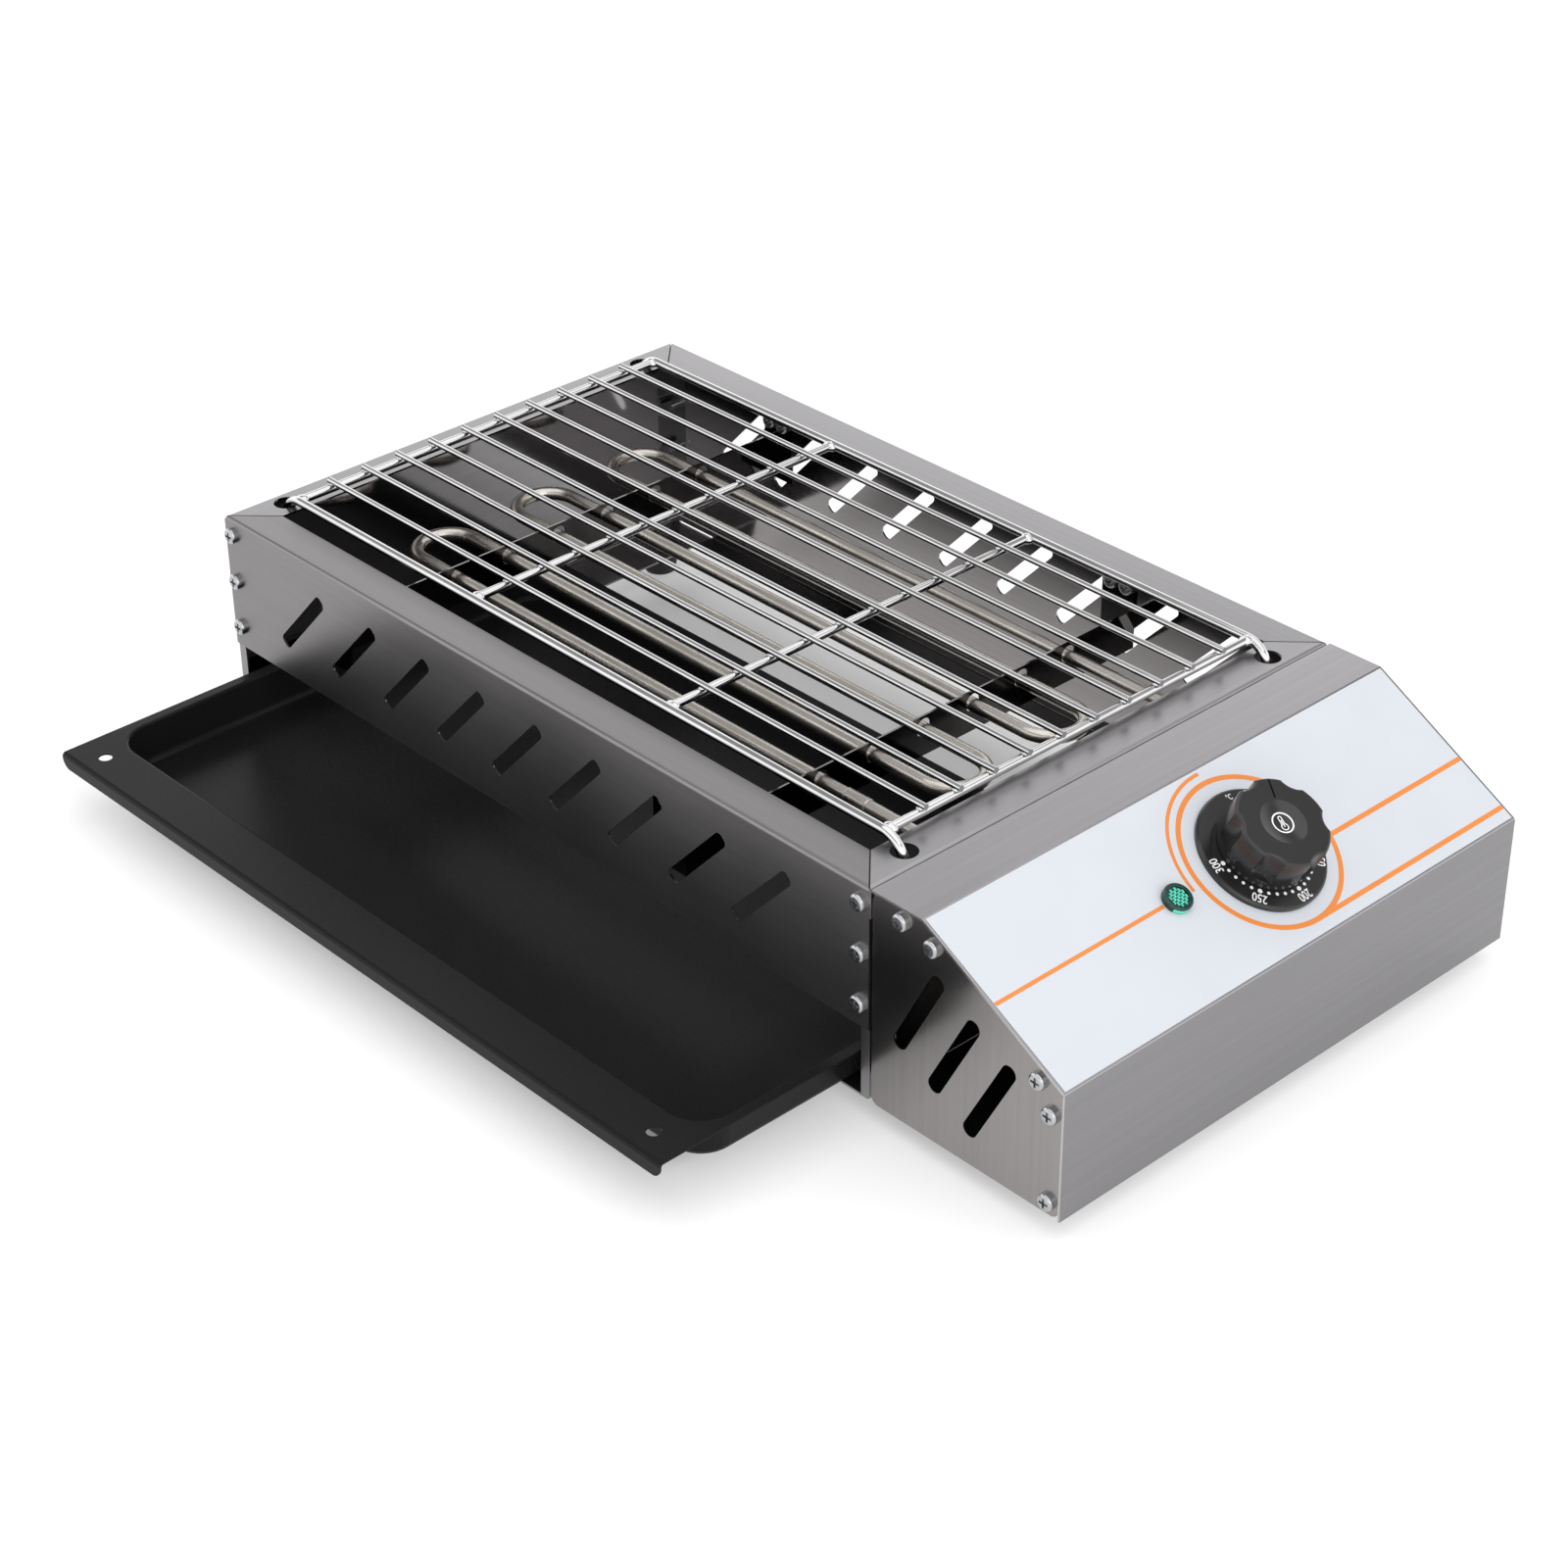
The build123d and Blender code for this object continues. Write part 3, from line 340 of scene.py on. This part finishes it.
# control film and inks
ink = {"patches": 30.0, "haze": 0.06, "tooth": 1500.0, "relief": (0.04, 0.00001)}


def film(name, low, high, rough):
    finish, tree, shader = newFinish(name)
    cloud = noise(tree, place(tree), ink["patches"], detail=2.0)
    tree.links.new(between(tree, cloud, low, high), shader.inputs["Base Color"])
    glossy(tree, shader, cloud, rough, ink["haze"])
    relief(tree, shader, noise(tree, place(tree), ink["tooth"], detail=2.0), *ink["relief"])
    return finish


# green plastic of the lamp
lampPlastic = {"patches": 400.0, "haze": 0.05, "bending": 1.49}


def tintedPlastic(name, low, high, rough, through):
    finish, tree, shader = newFinish(name)
    cloud = noise(tree, place(tree), lampPlastic["patches"], detail=2.0)
    tree.links.new(between(tree, cloud, low, high), shader.inputs["Base Color"])
    glossy(tree, shader, cloud, rough, lampPlastic["haze"])
    shader.inputs["Transmission Weight"].default_value = through
    shader.inputs["IOR"].default_value = lampPlastic["bending"]
    return finish


# stretch of the grain along each axis of the body
grainLong, grainFine = 8, 1500
alongBody = (grainLong, grainFine, grainFine)
acrossBody = (grainFine, grainLong, grainFine)
upright = (grainFine, grainFine, grainLong)
finishes = {
    "front": brushed("front_sheet", alongBody, (0, 1, 0), frontSheet),
    "rear": brushed("rear_sheet", alongBody, (0, -1, 0), rearSheet),
    "left": brushed("left_sheet", acrossBody, (1, 0, 0), leftSheet),
    "right": brushed("right_sheet", acrossBody, (-1, 0, 0), rightSheet),
    "cover": brushed("cover_sheet", acrossBody, (0, 0, 1), coverSheet),
    "side": brushed("side_sheet", upright, None, sideSheet),
    "strip": heatDark("bracket_strip"),
    "zinc": bright("zinc_plating", (0.41, 0.418, 0.43), (0.48, 0.488, 0.50), polish=0.20, haze=0.06),
    "wire": heatDark("chromed_wire", grateWire),
    "tube": heatTinted("element_tube"),
    "tray": coated("tray_coating", (0.0080, 0.0080, 0.0087), (0.0095, 0.0095, 0.0102),
                   rough=0.26, haze=0.06, grainSize=1400.0, strength=0.008, shine=0.10),
    "rubber": coated("foot_rubber", (0.010, 0.010, 0.010), (0.016, 0.016, 0.016),
                     rough=0.62, haze=0.14, grainSize=900.0, strength=0.25),
    "moulding": coated("knob_moulding", (0.011, 0.0108, 0.0114), (0.014, 0.0137, 0.0144),
                       rough=0.17, haze=0.04, grainSize=1800.0, strength=0.006),
    "film": film("control_film", (0.531, 0.5535, 0.594), (0.5445, 0.567, 0.6075), rough=0.30),
    "orange": film("orange_print", (0.67, 0.198, 0.024), (0.70, 0.209, 0.027), rough=0.38),
    "white": film("white_print", (0.80, 0.80, 0.80), (0.86, 0.86, 0.86), rough=0.45),
    "lens": tintedPlastic("green_lens", (0.001, 0.030, 0.024), (0.002, 0.042, 0.034), rough=0.05, through=0.1),
    # the brighter green of the lamp's prisms and wall patch is painted light through the plastic
    "facet": tintedPlastic("green_facets", (0.07, 0.60, 0.44), (0.15, 0.74, 0.57), rough=0.06, through=0.0),
    "ceramic": coated("ceramic_bead", (0.62, 0.58, 0.50), (0.74, 0.70, 0.62),
                      rough=0.55, haze=0.15, grainSize=700.0, strength=0.2),
    "copper": bright("drawn_copper", (0.55, 0.27, 0.16), (0.70, 0.38, 0.24), polish=0.22, haze=0.12),
    "brass": bright("plain_brass", (0.55, 0.40, 0.15), (0.68, 0.52, 0.22), polish=0.24, haze=0.10),
}

nodeFinish = {
    "front": ["front_panel"],
    "rear": ["rear_panel"],
    "left": ["left_end_panel"],
    "right": ["right_end_panel"],
    "cover": ["control_cover", "control_base"],
    "side": ["control_side_front", "control_side_rear"],
    "strip": ["element_bracket_left", "element_bracket_right", "bulb_clips"],
    "zinc": ["panel_screws", "bracket_screws", "foot_screws", "control_screws", "thermostat_screws",
             "element_bushings", "element_nuts", "element_pins", "thermostat_shaft"],
    "wire": ["grill_grate"],
    "tube": ["heating_element"],
    "tray": ["drip_tray"],
    "rubber": ["rubber_feet"],
    "moulding": ["dial_ring", "control_knob", "lamp_body", "lamp_nut", "cord_gland", "gland_nut",
                 "thermostat_body"],
    "film": ["control_overlay"],
    "lens": ["lamp_lens"],
    "ceramic": ["element_insulators", "terminal_block"],
    "copper": ["thermostat_bulb"],
    "brass": ["terminal_screws"],
}
for finishName, members in nodeFinish.items():
    for member in members:
        nodes[member].data.materials.clear()
        nodes[member].data.materials.append(finishes[finishName])
print("finishes set:", len(finishes))


# mesh helpers for the added pieces
def addPiece(name, mesh, finish, body):
    piece = bpy.data.objects.new(name, mesh)
    bpy.context.scene.collection.objects.link(piece)
    mesh.materials.append(finishes[finish])
    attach(piece, body)
    return piece


def skin(build, rings, closed=False):
    # faces between neighbouring rings of points; an open row of rings is filled at both ends
    count = len(rings)
    for i in range(count if closed else count - 1):
        one, two = rings[i], rings[(i + 1) % count]
        for k in range(len(one)):
            after = (k + 1) % len(one)
            build.faces.new((one[k], one[after], two[after], two[k]))
    if not closed:
        build.faces.new(rings[0])
        build.faces.new(list(reversed(rings[-1])))


def meshFrom(build, name, outward=True):
    if outward:
        bmesh.ops.recalc_face_normals(build, faces=build.faces)
    mesh = bpy.data.meshes.new(name)
    build.to_mesh(mesh)
    build.free()
    return mesh


def ribbonMesh(name, left, right, low, high, closed=False):
    # flat printed ribbon with a little thickness, between two edge lines drawn on the slope
    build = bmesh.new()
    rows = []
    for one, two in zip(left, right):
        corners = ((*one, low), (*one, high), (*two, high), (*two, low))
        rows.append([build.verts.new(onSlope(*corner)) for corner in corners])
    skin(build, rows, closed)
    return meshFrom(build, name)


def turnedMesh(name, profile, toWorld, sides):
    # a profile of radius and height spun about an axis
    build = bmesh.new()
    turns = [2 * math.pi * i / sides for i in range(sides)]
    rings = []
    for radius, height in profile:
        points = [toWorld(radius * math.cos(a), radius * math.sin(a), height) for a in turns]
        rings.append([build.verts.new(point) for point in points])
    skin(build, rings)
    return meshFrom(build, name)


def arcLine(centre, radius, start, end, steps):
    # angles run clockwise from up the slope, in degrees
    line = []
    for i in range(steps):
        turn = math.radians(start + (end - start) * i / (steps - 1))
        line.append((centre[0] + radius * math.sin(turn), centre[1] + radius * math.cos(turn)))
    return line


def circleLine(centre, radius, steps):
    return arcLine(centre, radius, 0, 360 - 360 / steps, steps)


def standing(spot, right, up, out):
    # matrix that lays X, Y and Z along three directions at a spot
    return Matrix.Translation(spot) @ Matrix((right, up, out)).transposed().to_4x4()


# printed orange lines on the control film
printing = {
    "centre": (0.0163, 0.0),
    "ringRadius": 0.0376,
    "ringWidth": 0.0023,
    "ringSteps": 120,
    "arcRadius": 0.0421,
    "arcWidth": 0.0016,
    "arcFrom": -91,
    "arcTo": 2,
    "arcSteps": 60,
    "lineWidth": 0.0021,
    "thinWidth": 0.0017,
    "edge": 0.1386,
    "lampEdge": -0.0424,
    "leftUp": 0.0003,
    "upperUp": -0.0090,
    "gap": 0.00001,
    "thick": 0.00005,
    "over": 0.000003,
    "lowerOver": 0.000006,
}


def addPrint(name, left, right, low, high, closed=False):
    addPiece(name, ribbonMesh(name, left, right, low, high, closed), "orange", "housing")


def printLines():
    low = slope["film"] + printing["gap"]
    high = low + printing["thick"]
    centre, outer, reach = printing["centre"], printing["ringRadius"], printing["arcRadius"]
    radii = (outer, outer - printing["ringWidth"])
    addPrint("print_ring", *(circleLine(centre, r, printing["ringSteps"]) for r in radii), low, high, True)
    sweep = (printing["arcFrom"], printing["arcTo"], printing["arcSteps"])
    radii = (reach, reach - printing["arcWidth"])
    addPrint("print_arc", *(arcLine(centre, r, *sweep) for r in radii), low, high)

    # straight lines: start, end, height on the slope, width, and how far they stand over the ring
    edge, width, over = printing["edge"], printing["lineWidth"], printing["over"]
    upper = printing["upperUp"]
    start = centre[0] + math.sqrt(outer**2 - upper**2) - printing["ringWidth"] / 2
    lower = centre[1] - outer + width / 2
    lines = (
        ("print_line_left", -edge, printing["lampEdge"], printing["leftUp"], printing["thinWidth"], over),
        ("print_line_upper", start, edge, upper, width, over),
        ("print_line_lower", centre[0], edge, lower, width, printing["lowerOver"]),
    )
    for name, begin, end, up, wide, rise in lines:
        sides = [[(across, up + side * wide / 2) for across in (begin, end)] for side in (1, -1)]
        addPrint(name, *sides, low, high + rise)


printLines()
print("printed lines made")

# dial scale: numbers, their dots and the small dots between
dial = {
    "centre": (0.0163, 0.0),
    "face": 0.0029,
    "numberRadius": 0.0257,
    "numberHeight": 0.0043,
    "typeSize": 1.38,
    "narrow": 0.78,
    "bold": 0.012,
    "curveSteps": 4,
    "dotRadius": 0.0222,
    "bigDot": 0.0011,
    "smallDot": 0.0008,
    "dotTaper": 0.92,
    "dotSides": 20,
    "dotSteps": 5,
    "topNumber": 300,
    "numberStep": 50,
    "topAngle": -83.0,
    "perStep": -49.3,
    "stepCount": 6,
    "unitAngle": 8.5,
    "unitShare": 0.62,
    "lineRadius": 0.0283,
    "lineWidth": 0.0004,
    "lineSteps": 120,
    "raise": 0.00006,
}


def dialPoint(radius, turn, height):
    a = math.radians(turn)
    return onSlope(dial["centre"][0] + radius * math.sin(a), dial["centre"][1] + radius * math.cos(a), height)


def dialText(name, words, turn, size):
    curve = bpy.data.curves.new(name, "FONT")
    curve.body = words
    curve.size = size * dial["typeSize"]
    curve.align_x = "CENTER"
    curve.align_y = "CENTER"
    curve.extrude = dial["raise"] / 2
    curve.offset = size * dial["bold"]
    curve.resolution_u = dial["curveSteps"]
    holder = bpy.data.objects.new(name + "_curve", curve)
    bpy.context.scene.collection.objects.link(holder)
    bpy.context.view_layer.update()
    mesh = bpy.data.meshes.new_from_object(holder.evaluated_get(bpy.context.evaluated_depsgraph_get()))
    mesh.name = name
    bpy.data.objects.remove(holder)
    a = math.radians(turn)
    right = slopeAcross * math.cos(a) - slopeUp * math.sin(a)
    up = slopeAcross * math.sin(a) + slopeUp * math.cos(a)
    spot = dialPoint(dial["numberRadius"], turn, dial["face"])
    squeeze = Matrix.Diagonal((dial["narrow"], 1, 1, 1))
    mesh.transform(standing(spot, right, up, slope["normal"]) @ squeeze)
    mesh.materials.clear()
    addPiece(name, mesh, "white", "housing")


def dotsMesh(name, spots):
    build = bmesh.new()
    for turn, radius in spots:
        middle = dialPoint(dial["dotRadius"], turn, dial["face"])
        bmesh.ops.create_cone(build, cap_ends=True, segments=dial["dotSides"], radius1=radius,
                              radius2=radius * dial["dotTaper"], depth=dial["raise"] * 2,
                              matrix=standing(middle, slopeAcross, slopeUp, slope["normal"]))
    return meshFrom(build, name, outward=False)


def dialScale():
    spots = []
    steps = dial["dotSteps"]
    for i in range(dial["stepCount"]):
        turn = dial["topAngle"] + i * dial["perStep"]
        number = dial["topNumber"] - dial["numberStep"] * i
        dialText(f"dial_number_{number}", str(number), turn, dial["numberHeight"])
        spots.append((turn, dial["bigDot"]))
        if i < dial["stepCount"] - 1:
            spots += [(turn + dial["perStep"] * k / steps, dial["smallDot"]) for k in range(1, steps)]
    dialText("dial_unit", "°C", dial["unitAngle"], dial["numberHeight"] * dial["unitShare"])
    addPiece("dial_dots", dotsMesh("dial_dots", spots), "white", "housing")
    # dark ring near the outer edge of the dial: painted shade of a groove
    radii = (dial["lineRadius"], dial["lineRadius"] - dial["lineWidth"])
    edges = [circleLine(dial["centre"], radius, dial["lineSteps"]) for radius in radii]
    low, high = dial["face"] - dial["raise"], dial["face"] + dial["raise"] / 2
    line = ribbonMesh("dial_groove_shade", *edges, low, high, True)
    addPiece("dial_groove_shade", line, "rubber", "housing")


dialScale()
print("dial scale made")

# weld nuggets of the grate, uneven drops of plated metal
welds = {
    "rimSide": 0.1112,
    "rodHeight": 0.1187,
    "firstRod": -0.250,
    "rodPitch": 0.1312,
    "rods": 4,
    "bars": 10,
    "joint": (0.0036, 0.0030, 0.0023),
    "jointIn": 0.0026,
    "crossing": (0.0019, 0.0024, 0.0010),
    "crossingUp": 0.0019,
    "uneven": 0.16,
    "waves": 3,
    "wavePhase": 6.28,
    "lean": 0.25,
    "fineness": 3,
}


def addDrop(build, middle, radii):
    made = bmesh.ops.create_icosphere(build, subdivisions=welds["fineness"], radius=1.0)
    lean = random.uniform(-welds["lean"], welds["lean"])
    phase = [random.uniform(0, welds["wavePhase"]) for _ in range(3)]
    for vert in made["verts"]:
        wave = sum(math.sin(welds["waves"] * vert.co[k] + phase[k]) for k in range(3)) / 3
        size = 1 + welds["uneven"] * wave
        shaped = Vector([vert.co[k] * radii[k] * size for k in range(3)])
        vert.co = Vector(middle) + Matrix.Rotation(lean, 3, "Z") @ shaped


def grateWelds():
    build = bmesh.new()
    pitch = 2 * welds["rimSide"] / (welds["bars"] + 1)
    rodTop = welds["rodHeight"] + welds["crossingUp"]
    for i in range(welds["rods"]):
        x = welds["firstRod"] + i * welds["rodPitch"]
        for side in (-1, 1):
            y = side * (welds["rimSide"] - welds["jointIn"])
            addDrop(build, (x, y, welds["rodHeight"]), welds["joint"])
        for j in range(welds["bars"]):
            addDrop(build, (x, pitch * (j + 1) - welds["rimSide"], rodTop), welds["crossing"])
    for face in build.faces:
        face.smooth = True
    mesh = meshFrom(build, "grate_welds", outward=False)
    addPiece("grate_welds", mesh, "wire", "grate")


grateWelds()
print("welds made")

# pilot lamp: dark rimmed green cap with staggered prisms and a lit patch of its wall; the prisms' brighter
# green and the patch are painted light through the plastic
lamp = {
    "across": -0.0353,
    "radius": 0.0066,
    "base": 0.0003,
    "height": 0.0030,
    "sides": 64,
    "edge": 0.0008,
    "edgeSteps": 4,
    "rim": 0.00174,
    "bevel": 0.0002,
    "sink": 0.0007,
    "prismLong": 0.00175,
    "prismWide": 0.00080,
    "prismHigh": 0.00065,
    "prismFoot": 0.0001,
    "prismTip": 0.3,
    "gapLong": 0.0006,
    "gapWide": 0.0004,
    "gapRim": 0.0001,
    "columns": 6,
    "rows": 4,
    "litFrom": 172.0,
    "litTo": 238.0,
    "litSteps": 24,
    "litUp": 0.0002,
    "litOut": 0.00003,
    "litIn": 0.0002,
}


def onLamp(x, y, height):
    return onSlope(lamp["across"] + x, y, height)


def lampCap():
    low, top = lamp["base"], lamp["base"] + lamp["height"]
    outer, edge, bevel = lamp["radius"], lamp["edge"], lamp["bevel"]
    inner = outer - lamp["rim"]
    profile = [(outer, low), (outer, top - edge)]
    for k in range(1, lamp["edgeSteps"] + 1):
        a = math.radians(90 * k / lamp["edgeSteps"])
        profile.append((outer - edge + edge * math.cos(a), top - edge + edge * math.sin(a)))
    profile += [(inner + bevel, top), (inner, top - bevel), (inner, top - lamp["sink"])]
    mesh = turnedMesh("lamp_cap", profile, onLamp, lamp["sides"])
    cap = addPiece("lamp_cap", mesh, "lens", "housing")
    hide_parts("lamp_lens")
    return inner, top - lamp["sink"]


def addPrism(build, x, y, floor, reach):
    foot = lamp["prismFoot"]
    levels = ((1.0, floor - foot), (1.0, floor + foot), (lamp["prismTip"], floor + lamp["prismHigh"]))
    rings = []
    for size, height in levels:
        halfX, halfY = lamp["prismWide"] / 2 * size, lamp["prismLong"] / 2 * size
        ring = []
        for a, b in ((-halfX, -halfY), (halfX, -halfY), (halfX, halfY), (-halfX, halfY)):
            shrink = min(1, (reach - lamp["gapRim"]) / math.hypot(x + a, y + b))
            ring.append(build.verts.new(onLamp((x + a) * shrink, (y + b) * shrink, height)))
        rings.append(ring)
    skin(build, rings)


def lampPrisms(reach, floor):
    build = bmesh.new()
    stepX = lamp["prismWide"] + lamp["gapWide"]
    stepY = lamp["prismLong"] + lamp["gapLong"]
    for column in range(-lamp["columns"], lamp["columns"] + 1):
        shift = stepY / 2 if column % 2 else 0
        for row in range(-lamp["rows"], lamp["rows"] + 1):
            x, y = column * stepX, row * stepY + shift
            if math.hypot(x, y) < reach - lamp["prismWide"] / 3:
                addPrism(build, x, y, floor, reach)
    addPiece("lamp_prisms", meshFrom(build, "lamp_prisms"), "facet", "housing")


# painted light: a bright green band on part of the cap's outer wall
def lampPatch():
    low, high = lamp["base"] + lamp["litUp"], lamp["base"] + lamp["height"] - lamp["edge"]
    sweep = (lamp["litFrom"], lamp["litTo"], lamp["litSteps"])
    radii = (lamp["radius"] + lamp["litOut"], lamp["radius"] - lamp["litIn"])
    edges = [arcLine((lamp["across"], 0.0), radius, *sweep) for radius in radii]
    mesh = ribbonMesh("lamp_lit_patch", *edges, low, high)
    addPiece("lamp_lit_patch", mesh, "facet", "housing")


lampPrisms(*lampCap())
lampPatch()
print("lamp made")

# sign in the dish of the knob: a ring round a small thermometer
sign = {
    "centre": (0.0163, 0.0),
    "top": 0.0224,
    "dishDepth": 0.0012,
    "dishRadius": 0.0105,
    "ringRadius": 0.0050,
    "ringSteps": 72,
    "line": 0.00063,
    "thinLine": 0.7,
    "turn": 10.0,
    "bulb": 0.00175,
    "bulbDown": 0.0019,
    "bulbSteps": 24,
    "stem": 0.0010,
    "stemUp": 0.0024,
    "stemSteps": 12,
    "columnHalf": 0.35,
    "columnUp": 0.6,
    "raise": 0.00007,
}


def dishHeight(radius):
    ball = (sign["dishRadius"]**2 + sign["dishDepth"]**2) / (2 * sign["dishDepth"])
    return sign["top"] - sign["dishDepth"] + ball - math.sqrt(ball**2 - radius**2)


def onDish(point, lift):
    a = math.radians(sign["turn"])
    across = point[0] * math.cos(a) + point[1] * math.sin(a)
    up = point[1] * math.cos(a) - point[0] * math.sin(a)
    height = dishHeight(math.hypot(*point)) + lift
    return onSlope(sign["centre"][0] + across, sign["centre"][1] + up, height)


def dishRibbon(build, left, right, closed=False):
    lift = sign["raise"]
    rows = []
    for one, two in zip(left, right):
        corners = (onDish(one, -lift), onDish(one, lift), onDish(two, lift), onDish(two, -lift))
        rows.append([build.verts.new(corner) for corner in corners])
    skin(build, rows, closed)


def thermometerLine(bulb, stem):
    # outline of bulb and stem, from the right shoulder clockwise round the bulb and over the top
    start = math.asin(stem / bulb)
    line = []
    for i in range(sign["bulbSteps"] + 1):
        a = start + (2 * math.pi - 2 * start) * i / sign["bulbSteps"]
        line.append((bulb * math.sin(a), bulb * math.cos(a) - sign["bulbDown"]))
    for i in range(sign["stemSteps"] + 1):
        a = math.pi * i / sign["stemSteps"]
        line.append((-stem * math.cos(a), sign["stemUp"] + stem * math.sin(a)))
    return line


def knobSign():
    build = bmesh.new()
    line = sign["line"]
    radii = (sign["ringRadius"], sign["ringRadius"] - line)
    dishRibbon(build, *(circleLine((0, 0), radius, sign["ringSteps"]) for radius in radii), True)
    thin = line * sign["thinLine"]
    outer = thermometerLine(sign["bulb"], sign["stem"])
    inner = thermometerLine(sign["bulb"] - thin, sign["stem"] - thin)
    dishRibbon(build, outer, inner, True)
    half = line * sign["columnHalf"]
    heights = (-sign["bulbDown"], 0.0, sign["stemUp"] * sign["columnUp"])
    dishRibbon(build, *([(side * half, up) for up in heights] for side in (1, -1)))
    addPiece("knob_sign", meshFrom(build, "knob_sign"), "white", "knob")


knobSign()
print("knob sign made")

# crimped sleeve on the front run of the heating tube
sleeve = {
    "start": 0.0690,
    "end": 0.0835,
    "y": -0.0610,
    "z": 0.0795,
    "tube": 0.0033,
    "clear": 0.0001,
    "wall": 0.0004,
    "crimp": 0.0012,
    "groove": 0.00015,
    "sides": 40,
}


def tubeSleeve():
    def toWorld(a, b, along):
        return Vector((along, sleeve["y"] + a, sleeve["z"] + b))
    start, end, crimp = sleeve["start"], sleeve["end"], sleeve["crimp"]
    thin, thick = sleeve["tube"] + sleeve["clear"], sleeve["tube"] + sleeve["wall"]
    bevel, groove, rest = crimp / 3, crimp * 1.6, crimp * 2.2  # distances from an end
    profile = (
        (thin, start),
        (thick, start + bevel),
        (thick, start + crimp),
        (thick - sleeve["groove"], start + groove),
        (thick, start + rest),
        (thick, end - crimp),
        (thick, end - bevel),
        (thin, end),
    )
    mesh = turnedMesh("tube_sleeve", profile, toWorld, sleeve["sides"])
    for face in mesh.polygons:
        face.use_smooth = len(face.vertices) == 4
    addPiece("tube_sleeve", mesh, "tube", "housing")


tubeSleeve()
print("sleeve made")

# studio: pale floor, soft lights, camera of the photograph
studio = {
    "floor": (0.60, 0.60, 0.60),
    "floorLift": 1.02,
    "floorPatches": 2.0,
    "floorSize": 14,
    "floorDrop": 0.0003,
    "floorRough": 0.9,
    "floorShine": 0.1,
    "floorGlow": 0.40,
    "shadeGlow": 0.13,
    "shadeBody": ((0.0, 0.0), (0.262, 0.138), 0.04),
    "shadeTray": ((-0.0525, -0.146), (0.1875, 0.086), 0.02),
    "skyStops": ((0.0, 1.6), (0.40, 1.7), (0.53, 1.38), (0.58, 0.75), (0.64, 0.42), (1.0, 0.42)),
    "topLight": {"spot": (0.5, 0.05, 2.3), "aim": (0.5, 0.05, 0), "size": 3.6, "power": 50.0},
    "sideLight": {"spot": (1.9, -0.6, 1.2), "aim": (0.1, 0, 0.05), "size": 1.2, "power": 5.0},
    "cameraAt": (0.9397, -0.9031, 0.8458),
    "azimuth": 47.203,
    "elevation": 32.137,
    "roll": -0.461,
    "lens": 77.22,
    "sensor": 36.0,
    "near": 0.05,
}


def below(tree, middle, half, soft):
    # 1 on the floor under a box, falling to 0 at its edges
    outputs = split(tree, place(tree, shift=(-middle[0], -middle[1], 0)))
    shares = []
    for axis, reach in zip("XY", half):
        away = tree.nodes.new("ShaderNodeMath")
        away.operation = "ABSOLUTE"
        tree.links.new(outputs[axis], away.inputs[0])
        shares.append(spread(tree, away.outputs["Value"], reach - soft, reach, 1, 0))
    return combined(tree, *shares, "MULTIPLY")


def layFloor():
    bpy.ops.mesh.primitive_plane_add(size=studio["floorSize"], location=(0, 0, -studio["floorDrop"]))
    floor = bpy.context.object
    floor.name = "studio_floor"
    finish, tree, shader = newFinish("studio_floor")
    cloud = noise(tree, place(tree), studio["floorPatches"], detail=2.0)
    pale = between(tree, cloud, studio["floor"], scaled(studio["floor"], studio["floorLift"]))
    tree.links.new(pale, shader.inputs["Base Color"])
    shader.inputs["Roughness"].default_value = studio["floorRough"]
    shader.inputs["Specular IOR Level"].default_value = studio["floorShine"]
    shader.inputs["Emission Color"].default_value = (1, 1, 1, 1)
    # painted shadow: the floor glows less under the body and the tray
    shade = combined(tree, below(tree, *studio["shadeBody"]), below(tree, *studio["shadeTray"]), "MAXIMUM")
    glow = spread(tree, shade, 0, 1, studio["floorGlow"], studio["shadeGlow"])
    tree.links.new(glow, shader.inputs["Emission Strength"])
    floor.data.materials.append(finish)


def hangSky():
    world = bpy.data.worlds.new("studio_world")
    world.use_nodes = True
    tree = world.node_tree
    tree.nodes.clear()
    coord = tree.nodes.new("ShaderNodeTexCoord")
    back = tree.nodes.new("ShaderNodeBackground")
    out = tree.nodes.new("ShaderNodeOutputWorld")
    stops = [(at, grey(level)) for at, level in studio["skyStops"]]
    tone = colours(tree, split(tree, coord.outputs["Generated"])["Z"], stops)
    tree.links.new(tone, back.inputs["Color"])
    tree.links.new(back.outputs["Background"], out.inputs["Surface"])
    bpy.context.scene.world = world


def addLight(name, spot, aim, size, power):
    light = bpy.data.lights.new(name, "AREA")
    light.size = size
    light.energy = power
    holder = bpy.data.objects.new(name, light)
    bpy.context.scene.collection.objects.link(holder)
    holder.location = spot
    holder.rotation_euler = (Vector(aim) - Vector(spot)).to_track_quat("-Z", "Y").to_euler()


def setCamera():
    a, e, r = (math.radians(studio[key]) for key in ("azimuth", "elevation", "roll"))
    toCamera = Vector((math.sin(a) * math.cos(e), -math.cos(a) * math.cos(e), math.sin(e)))
    level = Vector((math.cos(a), math.sin(a), 0))
    above = toCamera.cross(level)
    right = level * math.cos(r) + above * math.sin(r)
    up = above * math.cos(r) - level * math.sin(r)
    lens = bpy.data.cameras.new("photo_camera")
    lens.lens = studio["lens"]
    lens.sensor_width = studio["sensor"]
    lens.clip_start = studio["near"]
    camera = bpy.data.objects.new("photo_camera", lens)
    bpy.context.scene.collection.objects.link(camera)
    camera.matrix_world = standing(Vector(studio["cameraAt"]), right, up, toCamera)
    bpy.context.scene.camera = camera
    bpy.context.scene.view_settings.view_transform = "Standard"


layFloor()
hangSky()
addLight("top_light", **studio["topLight"])
addLight("side_light", **studio["sideLight"])
setCamera()
print("studio made")
